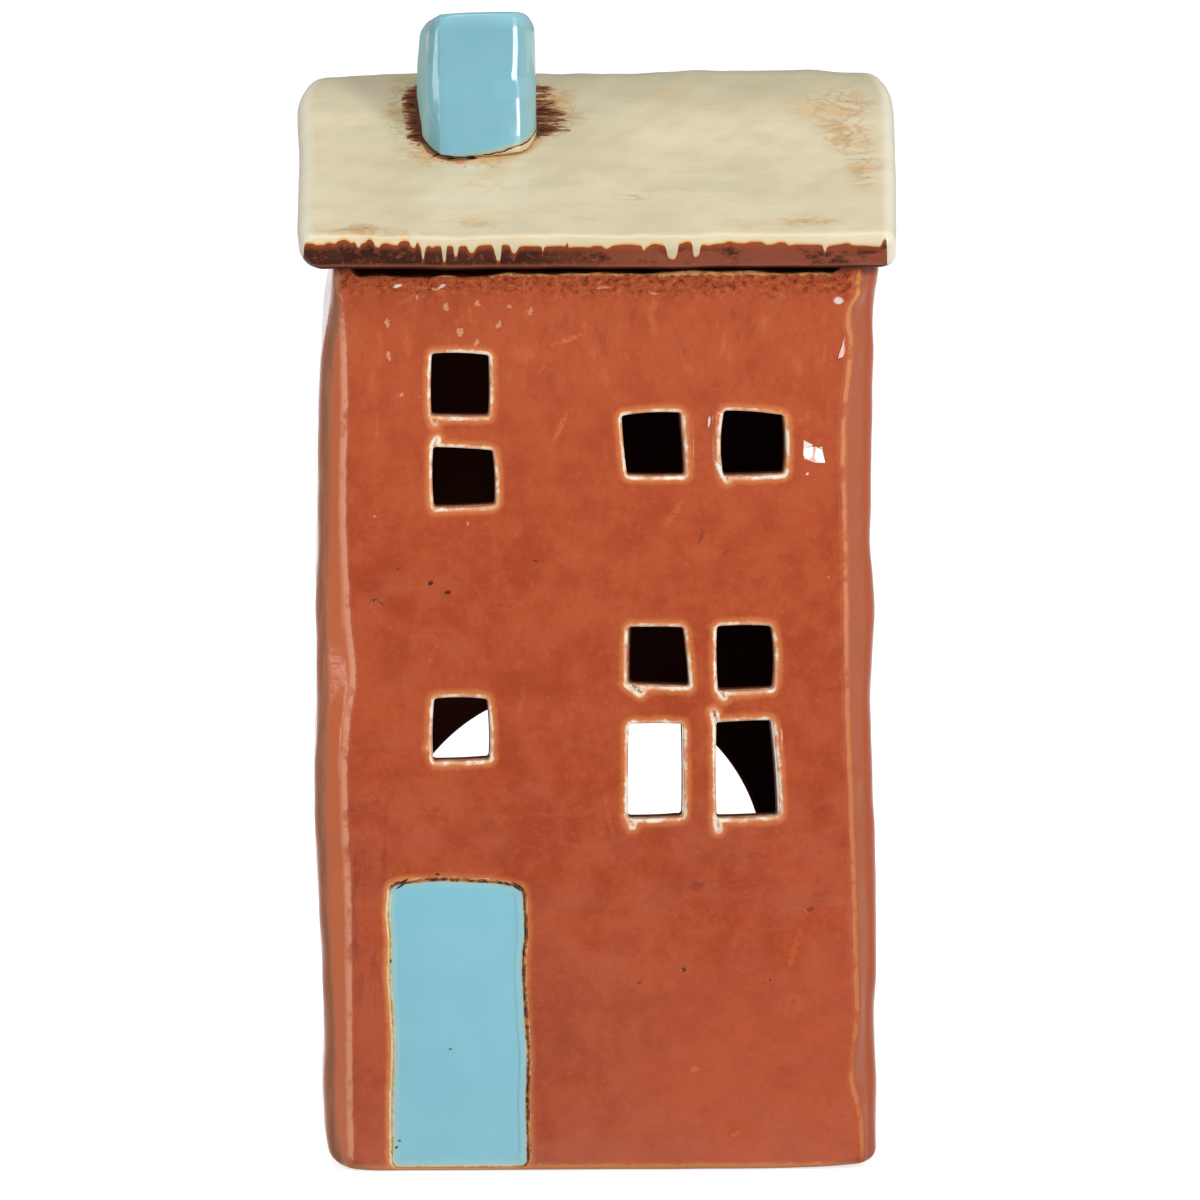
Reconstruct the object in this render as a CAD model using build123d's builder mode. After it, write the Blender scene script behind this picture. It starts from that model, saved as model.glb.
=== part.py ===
"""Tealight house, hand built from glazed clay slabs around one tealight.

Four wall slabs stand round a floor slab and carry two roof slabs that meet at the ridge. The front faces
-Y, +X is to the right of someone who looks at it, and +Z is up. The origin is at the middle of the
footprint, on the surface that the house stands on. Sizes are in millimetres and angles in degrees.
"""

import os
from math import cos, radians, sin, tan

from build123d import *

# Walls and floor
body_width = 88.2
body_depth = 78.0
front_wall_thickness = 5.2
back_wall_thickness = 5.2
side_wall_thickness = 5.0
floor_thickness = 5.0
corner_scrape_width = 3.9
corner_scrape_depth = 3.3
foot_round = 3.0

# Slit under the eave, between the two front corners that carry the roof
slit_width = 76.2
slit_drop = 1.6

# Roof
roof_width = 97.2
roof_shift = 0.6
roof_thickness = 5.0
roof_pitch = 27.5
eave_overhang = 3.0
eave_height = 146.5
ridge_round = 5.0
roof_edge_round = 2.4

# Windows of the front, and of the left side
pane_width = 9.6
pane_height = 9.9
tall_pane_height = 15.6
side_pane_width = 9.0
side_pane_height = 9.8

# Arched opening of the back
arch_width = 61.6
arch_spring_height = 38.2

# Door
door_width = 22.2
door_height = 47.2
door_thickness = 1.6
door_sunk_depth = 0.6
door_gap = 0.15
door_corner_round = 0.8

# Chimney
chimney_width = 18.4
chimney_depth = 20.0
chimney_rise = 11.7
chimney_top_fall = 8.0
chimney_top_inset = 0.8
chimney_edge_round = 2.4
chimney_top_round = 1.8
chimney_turn = 4.0
chimney_ridge_distance = 3.4
chimney_centre_share = -0.417

# Tealight
tealight_diameter = 38.0
tealight_height = 15.6
tealight_taper = 0.5
cup_wall = 0.4
cup_lip_width = 0.7
cup_lip_height = 0.6
wax_height = 11.6
wax_gap = 0.1
wax_dish_depth = 0.6
wick_diameter = 1.5
wick_height = 16.4
wick_gap = 0.1
tab_diameter = 12.0
tab_thickness = 0.4
tab_neck_diameter = 3.2
tab_neck_height = 4.6

# Every cut runs past the faces that it opens by this much
overrun = 2.0

# Where the windows sit, chosen by eye. Across is a share of half the body's width, up is a share of the
# front wall's height, lean is how far the top is pushed across, as a share of the pane's width.
left_column_share = -0.490
middle_column_share = 0.220
right_column_share = 0.560
square_window_shares = [
    (left_column_share, 0.877, 0.00),
    (left_column_share, 0.775, 0.02),
    (middle_column_share, 0.810, -0.10),
    (right_column_share, 0.811, -0.06),
    (middle_column_share, 0.574, -0.08),
    (right_column_share, 0.572, 0.00),
    (left_column_share, 0.493, 0.01),
]
tall_window_shares = [
    (middle_column_share, 0.446, 0.00),
    (right_column_share, 0.445, 0.03),
]
# Along is a share of half the body's depth
side_window_shares = [(-0.12, 0.630), (-0.10, 0.535)]

# Sizes that follow from those above
half_width = body_width / 2
half_depth = body_depth / 2
front_wall_height = eave_height - slit_drop
front_inside = -half_depth + front_wall_thickness
back_inside = half_depth - back_wall_thickness
inside_width = body_width - 2 * side_wall_thickness
slope = tan(radians(roof_pitch))
roof_reach = half_depth + eave_overhang
underside_apex = eave_height + roof_reach * slope
door_centre = left_column_share * half_width
tealight_radius = tealight_diameter / 2
eave_out = roof_thickness * sin(radians(roof_pitch))
eave_up = roof_thickness * cos(radians(roof_pitch))
outer_apex = underside_apex + roof_thickness / cos(radians(roof_pitch))
chimney_top = outer_apex + chimney_rise
door_back = half_depth - door_thickness - door_sunk_depth
cup_bottom = floor_thickness
cup_top = cup_bottom + tealight_height
cup_inside = cup_bottom + cup_wall
wax_top = cup_inside + wax_height
wax_foot_radius = tealight_radius - tealight_taper - cup_wall - wax_gap
tab_disc_top = cup_inside + tab_thickness + wax_gap
tab_neck_top = cup_inside + tab_neck_height + wax_gap


def underside(y):
    """Height of the roof's underside above a place along Y."""
    return underside_apex - abs(y) * slope


def pane(across, up, width, height, lean):
    """Four-sided face of a window round its centre, leaning by a share of its width."""
    shift = lean * width / 2
    with BuildSketch() as opening:
        with BuildLine():
            Polyline(
                (across - width / 2 - shift, up - height / 2),
                (across + width / 2 - shift, up - height / 2),
                (across + width / 2 + shift, up + height / 2),
                (across - width / 2 + shift, up + height / 2),
                close=True,
            )
        make_face()
    return opening.sketch


def end_wall(outer_face, inner_face):
    """Plain slab across the whole width, with its top cut to the roof and its outer corners scraped."""
    inward = -1 if outer_face > inner_face else 1
    with BuildPart() as slab:
        with BuildSketch(Plane.YZ.offset(-half_width)):
            with BuildLine():
                Polyline(
                    (outer_face, 0),
                    (inner_face, 0),
                    (inner_face, underside(inner_face)),
                    (outer_face, underside(outer_face)),
                    close=True,
                )
            make_face()
        extrude(amount=body_width)
        with BuildSketch(Plane.XY):
            with BuildLine():
                Polyline(
                    (half_width - corner_scrape_width, outer_face),
                    (half_width, outer_face + inward * corner_scrape_depth),
                    (half_width, outer_face),
                    close=True,
                )
            make_face()
            mirror(about=Plane.YZ)
        extrude(amount=underside_apex, mode=Mode.SUBTRACT)
        fillet(slab.edges().filter_by(Axis.Y).group_by(Axis.Z)[0], radius=foot_round)
    return slab.part


def side_wall(west_face):
    """Gable slab between the front and the back wall, from its lower X face, up to the roof."""
    with BuildPart() as slab:
        with BuildSketch(Plane.YZ.offset(west_face)):
            with BuildLine():
                Polyline(
                    (front_inside, 0),
                    (back_inside, 0),
                    (back_inside, underside(back_inside)),
                    (0, underside_apex),
                    (front_inside, underside(front_inside)),
                    close=True,
                )
            make_face()
        extrude(amount=side_wall_thickness)
        feet = slab.edges().filter_by(Axis.Y).group_by(Axis.Z)[0].sort_by(Axis.X)
        fillet(feet[0] if west_face < 0 else feet[-1], radius=foot_round)
    return slab.part


def roof_slab(kept_side):
    """One slab of the roof: the folded shape with rounded edges, split at the ridge."""
    with BuildPart() as slab:
        with BuildSketch(Plane.YZ.offset(roof_shift - roof_width / 2)) as section:
            with BuildLine():
                Polyline(
                    (0, underside_apex),
                    (-roof_reach, eave_height),
                    (-roof_reach - eave_out, eave_height + eave_up),
                    (0, outer_apex),
                    (roof_reach + eave_out, eave_height + eave_up),
                    (roof_reach, eave_height),
                    close=True,
                )
            make_face()
            fillet(section.vertices().sort_by(Axis.Y)[-1], radius=ridge_round)
        extrude(amount=roof_width)
        top_edges = [
            edge for edge in slab.edges()
            if edge.center().Z > underside(edge.center().Y) + roof_thickness / 2
            and (abs(edge.center().X) > roof_width / 4 or abs(edge.center().Y) > roof_reach)
        ]
        fillet(top_edges, radius=roof_edge_round)
        split(bisect_by=Plane.XZ, keep=kept_side)
    return slab.part


os.makedirs("parts", exist_ok=True)

# Floor slab, set in between the walls
with BuildPart() as base_slab:
    with BuildSketch(Plane.XY):
        Rectangle(inside_width, back_inside - front_inside)
    extrude(amount=floor_thickness)
base_slab.part.label = "base_slab"
export_step(base_slab.part, "parts/base_slab.step")

# Front wall, with its windows, the slit under the eave and the recess for the door
with BuildPart() as front_wall:
    add(end_wall(-half_depth, front_inside))
    with BuildSketch(Plane.XZ.offset(-front_inside - overrun)):
        for across, up, lean in square_window_shares:
            add(pane(across * half_width, up * front_wall_height, pane_width, pane_height, lean))
        for across, up, lean in tall_window_shares:
            add(pane(across * half_width, up * front_wall_height, pane_width, tall_pane_height, lean))
        with Locations((0, front_wall_height)):
            Rectangle(slit_width, underside_apex, align=(Align.CENTER, Align.MIN))
    extrude(amount=front_wall_thickness + 2 * overrun, mode=Mode.SUBTRACT)
    with BuildSketch(Plane.XZ.offset(door_back)):
        with Locations((door_centre, 0)):
            Rectangle(door_width, 2 * door_height)
    extrude(amount=door_thickness + door_sunk_depth + overrun, mode=Mode.SUBTRACT)
front_wall.part.label = "front_wall"
export_step(front_wall.part, "parts/front_wall.step")

# Door panel, bedded on the back of its recess and a little below the face of the wall
with BuildPart() as door_panel:
    with BuildSketch(Plane.XZ.offset(door_back)) as door_outline:
        with Locations((door_centre, 0)):
            Rectangle(door_width - 2 * door_gap, door_height - door_gap, align=(Align.CENTER, Align.MIN))
        fillet(door_outline.vertices().group_by(Axis.Y)[-1], radius=door_corner_round)
    extrude(amount=door_thickness)
door_panel.part.label = "door_panel"
export_step(door_panel.part, "parts/door_panel.step")

# Back wall, with the arch that the tealight goes in through. Its sill is level with the floor
with BuildPart() as back_wall:
    add(end_wall(half_depth, back_inside))
    with BuildSketch(Plane.XZ.offset(-half_depth - overrun)):
        with BuildLine():
            Polyline(
                (-arch_width / 2, arch_spring_height),
                (-arch_width / 2, floor_thickness),
                (arch_width / 2, floor_thickness),
                (arch_width / 2, arch_spring_height),
            )
            CenterArc((0, arch_spring_height), arch_width / 2, 0, 180)
        make_face()
    extrude(amount=back_wall_thickness + 2 * overrun, mode=Mode.SUBTRACT)
back_wall.part.label = "back_wall"
export_step(back_wall.part, "parts/back_wall.step")

# Left wall, with two small windows one above the other
with BuildPart() as left_wall:
    add(side_wall(-half_width))
    with BuildSketch(Plane.YZ.offset(-half_width - overrun)):
        for along, up in side_window_shares:
            add(pane(along * half_depth, up * front_wall_height, side_pane_width, side_pane_height, 0))
    extrude(amount=side_wall_thickness + 2 * overrun, mode=Mode.SUBTRACT)
left_wall.part.label = "left_wall"
export_step(left_wall.part, "parts/left_wall.step")

# Right wall, plain
with BuildPart() as right_wall:
    add(side_wall(inside_width / 2))
right_wall.part.label = "right_wall"
export_step(right_wall.part, "parts/right_wall.step")

# Roof slabs, which meet at the ridge
with BuildPart() as roof_front:
    add(roof_slab(Keep.TOP))
roof_front.part.label = "roof_front"
export_step(roof_front.part, "parts/roof_front.step")

with BuildPart() as roof_back:
    add(roof_slab(Keep.BOTTOM))
roof_back.part.label = "roof_back"
export_step(roof_back.part, "parts/roof_back.step")

# Chimney, a block with a closed top that falls to the back, turned a little, with its foot cut to the slope
chimney_place = Plane(
    origin=(chimney_centre_share * half_width, -chimney_ridge_distance - chimney_depth / 2, 0),
    x_dir=(cos(radians(chimney_turn)), sin(radians(chimney_turn)), 0),
    z_dir=(0, 0, 1),
)
chimney_back_lean = chimney_place.y_dir * sin(radians(chimney_top_fall))
chimney_crown = Plane(
    origin=chimney_place.from_local_coords((0, chimney_top_inset - chimney_depth / 2, chimney_top)),
    x_dir=chimney_place.x_dir,
    z_dir=chimney_place.z_dir * cos(radians(chimney_top_fall)) + chimney_back_lean,
)
front_slope = Plane(
    origin=(0, 0, outer_apex),
    x_dir=(1, 0, 0),
    z_dir=(0, -sin(radians(roof_pitch)), cos(radians(roof_pitch))),
)
with BuildPart() as chimney:
    with BuildSketch(chimney_place.offset(eave_height)):
        Rectangle(chimney_width, chimney_depth)
    with BuildSketch(chimney_place.offset(chimney_top + overrun)):
        Rectangle(chimney_width - 2 * chimney_top_inset, chimney_depth - 2 * chimney_top_inset)
    loft()
    upright_edges = chimney.edges().group_by(Axis.Z)[1]
    fillet(upright_edges, radius=chimney_edge_round)
    split(bisect_by=chimney_crown, keep=Keep.BOTTOM)
    fillet(chimney.faces().sort_by(Axis.Z)[-1].edges(), radius=chimney_top_round)
    split(bisect_by=front_slope, keep=Keep.TOP)
chimney.part.label = "chimney"
export_step(chimney.part, "parts/chimney.step")

# Tealight cup, a thin shell that widens a little upwards to a rolled lip
with BuildPart() as tealight_cup:
    with BuildSketch(Plane.XZ):
        with BuildLine():
            Polyline(
                (0, cup_bottom),
                (tealight_radius - tealight_taper, cup_bottom),
                (tealight_radius, cup_top - cup_lip_height),
                (tealight_radius + cup_lip_width, cup_top - cup_lip_height),
                (tealight_radius + cup_lip_width, cup_top),
                (tealight_radius - cup_wall, cup_top),
                (tealight_radius - tealight_taper - cup_wall, cup_inside),
                (0, cup_inside),
                close=True,
            )
        make_face()
    revolve(axis=Axis.Z)
tealight_cup.part.label = "tealight_cup"
export_step(tealight_cup.part, "parts/tealight_cup.step")

# Metal tab that stands the wick up, a disc with a neck and the wick's bore through both
with BuildPart() as wick_sustainer:
    with BuildSketch(Plane.XY.offset(cup_inside)):
        Circle(tab_diameter / 2)
    extrude(amount=tab_thickness)
    with BuildSketch(Plane.XY.offset(cup_inside)):
        Circle(tab_neck_diameter / 2)
    extrude(amount=tab_neck_height)
    with BuildSketch(Plane.XY.offset(cup_inside)):
        Circle(wick_diameter / 2 + wick_gap)
    extrude(amount=tab_neck_height, mode=Mode.SUBTRACT)
wick_sustainer.part.label = "wick_sustainer"
export_step(wick_sustainer.part, "parts/wick_sustainer.step")

# Wick, from the floor of the cup to above the wax
with BuildPart() as tealight_wick:
    with BuildSketch(Plane.XY.offset(cup_inside)):
        Circle(wick_diameter / 2)
    extrude(amount=wick_height)
tealight_wick.part.label = "tealight_wick"
export_step(tealight_wick.part, "parts/tealight_wick.step")

# Wax, cast round the tab and the wick, with a shallow dish in its top
with BuildPart() as tealight_wax:
    with BuildSketch(Plane.XZ):
        with BuildLine():
            Polyline(
                (wick_diameter / 2 + wick_gap, wax_top - wax_dish_depth),
                (wick_diameter / 2 + wick_gap, tab_neck_top),
                (tab_neck_diameter / 2 + wax_gap, tab_neck_top),
                (tab_neck_diameter / 2 + wax_gap, tab_disc_top),
                (tab_diameter / 2 + wax_gap, tab_disc_top),
                (tab_diameter / 2 + wax_gap, cup_inside),
                (wax_foot_radius, cup_inside),
                (wax_foot_radius, wax_top),
                close=True,
            )
        make_face()
    revolve(axis=Axis.Z)
tealight_wax.part.label = "tealight_wax"
export_step(tealight_wax.part, "parts/tealight_wax.step")
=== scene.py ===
"""Dressed model of a glazed earthenware tealight house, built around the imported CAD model.

Clay forms are signed distance fields in millimetres, meshed where they cross zero.
"""

from functools import partial, reduce
from math import cos, pi, radians, sin

import bpy
import numpy as np
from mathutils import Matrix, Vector


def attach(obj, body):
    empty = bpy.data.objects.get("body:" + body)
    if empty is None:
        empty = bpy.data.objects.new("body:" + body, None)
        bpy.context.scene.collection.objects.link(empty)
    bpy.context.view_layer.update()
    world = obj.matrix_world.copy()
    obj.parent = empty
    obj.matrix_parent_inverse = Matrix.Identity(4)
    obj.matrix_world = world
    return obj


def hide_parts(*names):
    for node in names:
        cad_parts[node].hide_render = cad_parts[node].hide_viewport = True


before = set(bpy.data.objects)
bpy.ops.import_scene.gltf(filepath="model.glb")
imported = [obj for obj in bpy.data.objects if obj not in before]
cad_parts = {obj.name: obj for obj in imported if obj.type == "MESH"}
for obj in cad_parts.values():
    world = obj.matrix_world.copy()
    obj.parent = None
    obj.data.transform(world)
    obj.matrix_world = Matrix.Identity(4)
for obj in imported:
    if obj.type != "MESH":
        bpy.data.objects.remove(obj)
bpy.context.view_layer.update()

MM = 0.001

# Places of the CAD model, and other lengths, in millimetres
FRONT = -39.0
BACK = 39.0
INNER_FRONT = -33.8
INNER_BACK = 33.8
INNER_SIDE = 39.1
FLOOR_TOP = 5.0
SILL = 5.0
APEX = 174.0
PITCH = radians(27.5)
SLAB = 5.6
SLOPE_LENGTH = 49.6
DOOR_SEAT = -36.8
DOOR_FACE = -38.4
SEAM = 0.03
SEAM_LAP = 0.5
FAR = 99.0


# Helpers for drawn lines and uneven clay


def smooth_line(*points):
    """Smooth curve through given points (position, value), level beyond its ends."""
    at, to = np.array(sorted(points), float).T
    lean = np.gradient(to, at)
    lean[0] = lean[-1] = 0.0

    def value(t):
        t = np.clip(t, at[0], at[-1])
        i = np.clip(np.searchsorted(at, t) - 1, 0, len(at) - 2)
        width = at[i + 1] - at[i]
        s = (t - at[i]) / width
        start = (1 + 2 * s) * (1 - s) ** 2 * to[i] + s * (1 - s) ** 2 * width * lean[i]
        end = s * s * (3 - 2 * s) * to[i + 1] + s * s * (s - 1) * width * lean[i + 1]
        return start + end

    return value


def waves(x, y, z, length, seed, count=7):
    """Sum of plane waves of about that length, with a mean square of about one."""
    rng = np.random.default_rng(seed)
    total = 0.0
    for _ in range(count):
        way = rng.normal(size=3)
        way *= 2 * pi / (length * rng.uniform(0.7, 1.5) * np.linalg.norm(way))
        total = total + np.sin(way[0] * x + way[1] * y + way[2] * z + rng.uniform(0, 2 * pi))
    return total / np.sqrt(count / 2)


def ease(value, low, high):
    """0 below low, 1 above high, smooth between."""
    t = np.clip((value - low) / (high - low), 0, 1)
    return t * t * (3 - 2 * t)


def both(a, b, r):
    """Intersection of two fields, with its edge rounded to radius r."""
    arc = np.hypot(np.maximum(a + r, 0), np.maximum(b + r, 0))
    return arc + np.minimum(np.maximum(a, b), -r)


def nearest(fields):
    """Union of several fields."""
    return reduce(np.minimum, fields)


def either(a, b, r):
    """Union of two fields, with a fillet of radius r in its corner."""
    return -both(-a, -b, r)


def smooth_max(a, b, k):
    """Intersection of fields that meet at a blunt angle, softened over a width k."""
    h = np.maximum(k - np.abs(a - b), 0) / k
    return np.maximum(a, b) + h * h * k / 4


def quad(x, z, corners, bow, r, depth=0.0, lean=(0, 0, 0, 0)):
    """Distance to a hand-cut opening: corners clockwise from top left, sides bowed outward.

    Each side may lean inward with depth behind the face.
    """
    field = None
    for i in range(4):
        (ax, az), (bx, bz) = corners[i], corners[(i + 1) % 4]
        length = np.hypot(bx - ax, bz - az)
        ux, uz = (bx - ax) / length, (bz - az) / length
        run = (x - ax) * ux + (z - az) * uz
        t = np.clip(2 * run / length - 1, -1, 1)
        side = (z - az) * ux - (x - ax) * uz - bow[i] * (1 - t * t) + lean[i] * depth
        field = side if field is None else both(field, side, r)
    return field


def stroke(x, z, start, end, width):
    """Distance to a short straight cut."""
    (ax, az), (bx, bz) = start, end
    length = (bx - ax) ** 2 + (bz - az) ** 2
    t = np.clip(((x - ax) * (bx - ax) + (z - az) * (bz - az)) / length, 0, 1)
    return np.hypot(x - ax - t * (bx - ax), z - az - t * (bz - az)) - width / 2


# Meshing

TINY = 1e-9
MOVES = 3


def lines(low, high, coarse, fine, marks=(), reach=1.2):
    """Grid lines from low to high, fine near the marks and coarser between them."""
    found = [low]
    while found[-1] < high:
        here = found[-1] + fine
        near = min((abs(here - mark) for mark in marks), default=high - low)
        step = fine if near < reach else min(coarse, fine + 0.3 * (near - reach))
        found.append(found[-1] + step)
    return np.array(found)


def along(axis, low, high):
    """Index of a block that is cut between two slices along one axis."""
    return tuple(slice(low, high) if k == axis else slice(None) for k in range(3))


def crossings(value, steps):
    """Sum and number of the crossing points on the edges of each cell."""
    shape = tuple(n - 1 for n in value.shape)
    inside = value < 0
    total, count = np.zeros(shape + (3,)), np.zeros(shape)
    spread = np.ix_(*steps)
    for axis in range(3):
        low, high = along(axis, None, -1), along(axis, 1, None)
        a, b = value[low], value[high]
        cross = inside[low] != inside[high]
        t = np.where(cross, a / np.where(cross, a - b, 1.0), 0.0)
        width, start = np.diff(spread[axis], axis=axis), spread[axis][low]
        p, q = (k for k in range(3) if k != axis)
        for m, n in ((0, 0), (0, 1), (1, 0), (1, 1)):
            cut = [slice(None)] * 3
            cut[p], cut[q] = slice(m, m + shape[p]), slice(n, n + shape[q])
            hit = cross[tuple(cut)]
            count += hit
            total[..., axis] += hit * (start + t[tuple(cut)] * width)
            for k, shift in ((p, m), (q, n)):
                total[..., k] += hit * spread[k][along(k, shift, shift + shape[k])]
    return total, count


def faces_of(value, number):
    """Quads between the cells that share each crossed grid edge."""
    inside = value < 0
    quads = []
    for axis in range(3):
        b, c = [k for k in range(3) if k != axis]
        low, high = [slice(1, -1)] * 3, [slice(1, -1)] * 3
        low[axis], high[axis] = slice(None, -1), slice(1, None)
        first, second = inside[tuple(low)], inside[tuple(high)]
        for entering in (True, False):
            where = np.argwhere(first & ~second if entering else ~first & second)
            corners = []
            for db, dc in ((0, 0), (1, 0), (1, 1), (0, 1)):
                cell = where.copy()
                cell[:, b] += db
                cell[:, c] += dc
                corners.append(number[tuple(cell.T)])
            corners = np.stack(corners, 1)
            quads.append(corners[:, ::-1] if entering == (axis == 1) else corners)
    return np.concatenate(quads)


def gradient(field, p, step=0.02):
    """Slope of a field at points, by central differences."""
    g = np.empty_like(p)
    for k in range(3):
        shift = np.zeros(3)
        shift[k] = step
        g[:, k] = (field(*(p + shift).T) - field(*(p - shift).T)) / (2 * step)
    return g


def shown(name, data):
    """Object of some data, linked into the scene."""
    obj = bpy.data.objects.new(name, data)
    bpy.context.scene.collection.objects.link(obj)
    return obj


def settle(piece, body, slot, *nodes):
    """Gives a piece its material, body, finish and the CAD nodes it stands for."""
    piece.data.materials.append(GLAZES[slot])
    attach(piece, body)
    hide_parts(*nodes)


def clay(name, node, slot, field, steps, notes, turn=None, origin=(0, 0, 0)):
    """Piece of the house: a field's zero surface, with measured notes kept on its points.

    The grid may be turned, with its own origin, so that it lies along a slab.
    """
    def local(x, y, z):
        if turn is None:
            return field(x, y, z)
        return field(*(a * x + b * y + c * z + at for (a, b, c), at in zip(turn, origin)))

    value = np.broadcast_to(local(*np.ix_(*steps)), [len(s) for s in steps]).copy()
    value[np.abs(value) < TINY] = TINY
    total, count = crossings(value, steps)
    used = count > 0
    number = np.full(used.shape, -1)
    number[used] = np.arange(used.sum())
    points = total[used] / count[used][:, None]
    for _ in range(MOVES):
        g = gradient(local, points)
        size = np.maximum((g * g).sum(1), 0.04)
        points = points - g * np.clip(local(*points.T) / size, -0.3, 0.3)[:, None]
    normals = gradient(local, points)
    normals /= np.maximum(np.linalg.norm(normals, axis=1), 1e-6)[:, None]
    quads = faces_of(value, number)
    if turn is not None:
        points, normals = points @ turn.T + origin, normals @ turn.T
        quads = quads[:, ::-1] if np.linalg.det(turn) < 0 else quads
    piece = clay_mesh(name, points, quads, normals, notes)
    settle(piece, "house", slot, node)


def clay_mesh(name, points, quads, normals, notes):
    """Object from points in millimetres and quads, with their normals and notes."""
    mesh = bpy.data.meshes.new(name)
    mesh.vertices.add(len(points))
    mesh.vertices.foreach_set("co", (points * MM).astype(np.float32).ravel())
    mesh.loops.add(quads.size)
    mesh.loops.foreach_set("vertex_index", quads.astype(np.int32).ravel())
    mesh.polygons.add(len(quads))
    mesh.polygons.foreach_set("loop_start", np.arange(0, quads.size, 4, dtype=np.int32))
    mesh.update(calc_edges=True)
    mesh.validate()
    mesh.polygons.foreach_set("use_smooth", np.ones(len(mesh.polygons), bool))
    for note, measure in notes.items():
        layer = mesh.attributes.new(note, "FLOAT", "POINT")
        worth = np.broadcast_to(measure(*points.T), len(points)).astype(np.float32)
        layer.data.foreach_set("value", worth)
    mesh.normals_split_custom_set_from_vertices(normals.astype(np.float32).tolist())
    return shown(name, mesh)


# Outlines of the body, read off the photograph: (height, x)

LEFT_EDGE = smooth_line(
    (0, -42.4), (2, -42.7), (5, -43.25), (9, -43.6), (23, -43.7), (34, -44.3), (50, -44.9),
    (63.6, -44.9), (75, -44.6), (92, -44.75), (107, -44.45), (126, -43.9), (135, -43.15),
    (141, -42.2), (146, -42.1))
LEFT_TAPER = 0.011
RIGHT_EDGE = smooth_line(
    (3.8, 45.5), (7.6, 45.55), (25.4, 45.2), (35.3, 45.6), (50.2, 45.1), (79.4, 44.6), (89.6, 45.0),
    (98.8, 44.5), (132.6, 44.7), (141, 44.9), (145.5, 45.4))
LEFT_ARRIS = smooth_line(
    (0, -39.3), (4.1, -39.4), (40, -39.6), (73.8, -39.7), (79.1, -38.9), (89.6, -39.7),
    (108.8, -40.4), (126, -40.1), (136.6, -40.4), (144.3, -41.1))
RIGHT_ARRIS = smooth_line(
    (0, 42.8), (10.4, 42.2), (13, 41.4), (25.4, 42.0), (33.7, 41.8), (50.2, 41.3), (74.1, 40.4),
    (98.8, 40.0), (125.7, 40.0), (129.1, 40.4), (132.4, 40.7), (135.1, 40.6), (137.3, 40.3),
    (139.8, 40.8), (141.4, 41.8), (143.3, 41.8), (146, 42.2))
RIGHT_FOOT = smooth_line((26, 0), (33, 0.1), (38, 0.3), (46, 0.45))
SCRAPE_DROP = 3.3
GROOVE = 0.35

# Hand-cut openings of the front: corners clockwise from top left (x, z), bow of each side
PANES = (
    (((-26.2, 132.2), (-17.1, 131.9), (-17.1, 122.1), (-26.3, 122.2)),
     (0.25, 0.15, 0.1, 0.15), (0.02, 0.02, 0.02, 0.03)),
    (((-26.0, 117.2), (-16.5, 116.6), (-16.1, 107.8), (-25.9, 107.4)),
     (0.1, 0.25, 0.15, 0.2), (0.02, 0.03, 0.02, 0.02)),
    (((4.1, 122.1), (13.6, 122.6), (14.4, 112.4), (5.0, 112.4)),
     (0.3, 0.1, 0.1, 0.1), (0.02, 0.08, 0.02, 0.02)),
    (((20.5, 122.9), (30.0, 122.1), (30.2, 112.6), (20.4, 112.3)),
     (0.2, 0.3, 0.1, 0.5), (0.02, 0.06, 0.03, 0.02)),
    (((5.2, 88.1), (14.0, 88.0), (15.0, 78.4), (5.0, 78.8)),
     (0.1, 0.1, 0.1, 0.1), (0.02, 0.02, 0.02, 0.14)),
    (((19.4, 88.1), (28.1, 88.1), (28.4, 77.9), (19.6, 77.6)),
     (0.25, 0.4, 0.1, 0.2), (0.02, 0.03, 0.02, 0.03)),
    (((5.3, 72.4), (13.9, 72.4), (14.0, 57.3), (5.2, 57.0)),
     (0.1, 0.1, 0.1, 0.1), (0.02, 0.04, 0.02, 0.02)),
    (((19.3, 72.6), (28.3, 72.9), (29.5, 57.4), (19.4, 57.0)),
     (0.1, 0.2, 0.1, 0.1), (0.02, 0.1, 0.02, 0.02)),
    (((-25.9, 76.6), (-17.4, 76.5), (-17.0, 66.7), (-26.1, 66.4)),
     (0.25, 0.25, 0.1, 0.2), (0.02, 0.03, 0.02, 0.02)),
)
# Ends of cuts that ran past a corner: start, end, width
OVERCUTS = (
    ((-26.2, 122.6), (-25.8, 121.2), 0.3),
    ((-26.0, 117.0), (-25.5, 118.4), 0.3),
    ((5.0, 79.0), (7.1, 77.5), 0.4),
    ((19.7, 78.2), (20.5, 76.7), 0.35),
    ((5.2, 57.8), (5.8, 55.9), 0.35),
    ((19.4, 72.2), (18.9, 74.3), 0.35),
    ((19.4, 57.5), (19.6, 55.3), 0.35),
    ((-26.4, 68.8), (-24.9, 66.5), 0.4),
    ((20.2, 114.0), (21.0, 111.8), 0.4),
)
# Raised burrs beside a cut: start, end, width, height
BURRS = (
    ((19.1, 122.2), (19.3, 114.8), 0.8, 0.32),
    ((19.5, 114.4), (20.7, 111.9), 0.8, 0.3),
    ((3.7, 120.5), (4.4, 113.5), 0.5, 0.05),
    ((-16.5, 131.0), (-16.4, 123.5), 0.5, 0.06),
    ((15.0, 121.5), (15.3, 114.0), 0.9, 0.12),
    ((14.9, 87.0), (15.4, 79.5), 0.6, 0.05),
    ((29.4, 71.5), (30.1, 58.5), 0.5, 0.05),
)
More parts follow.
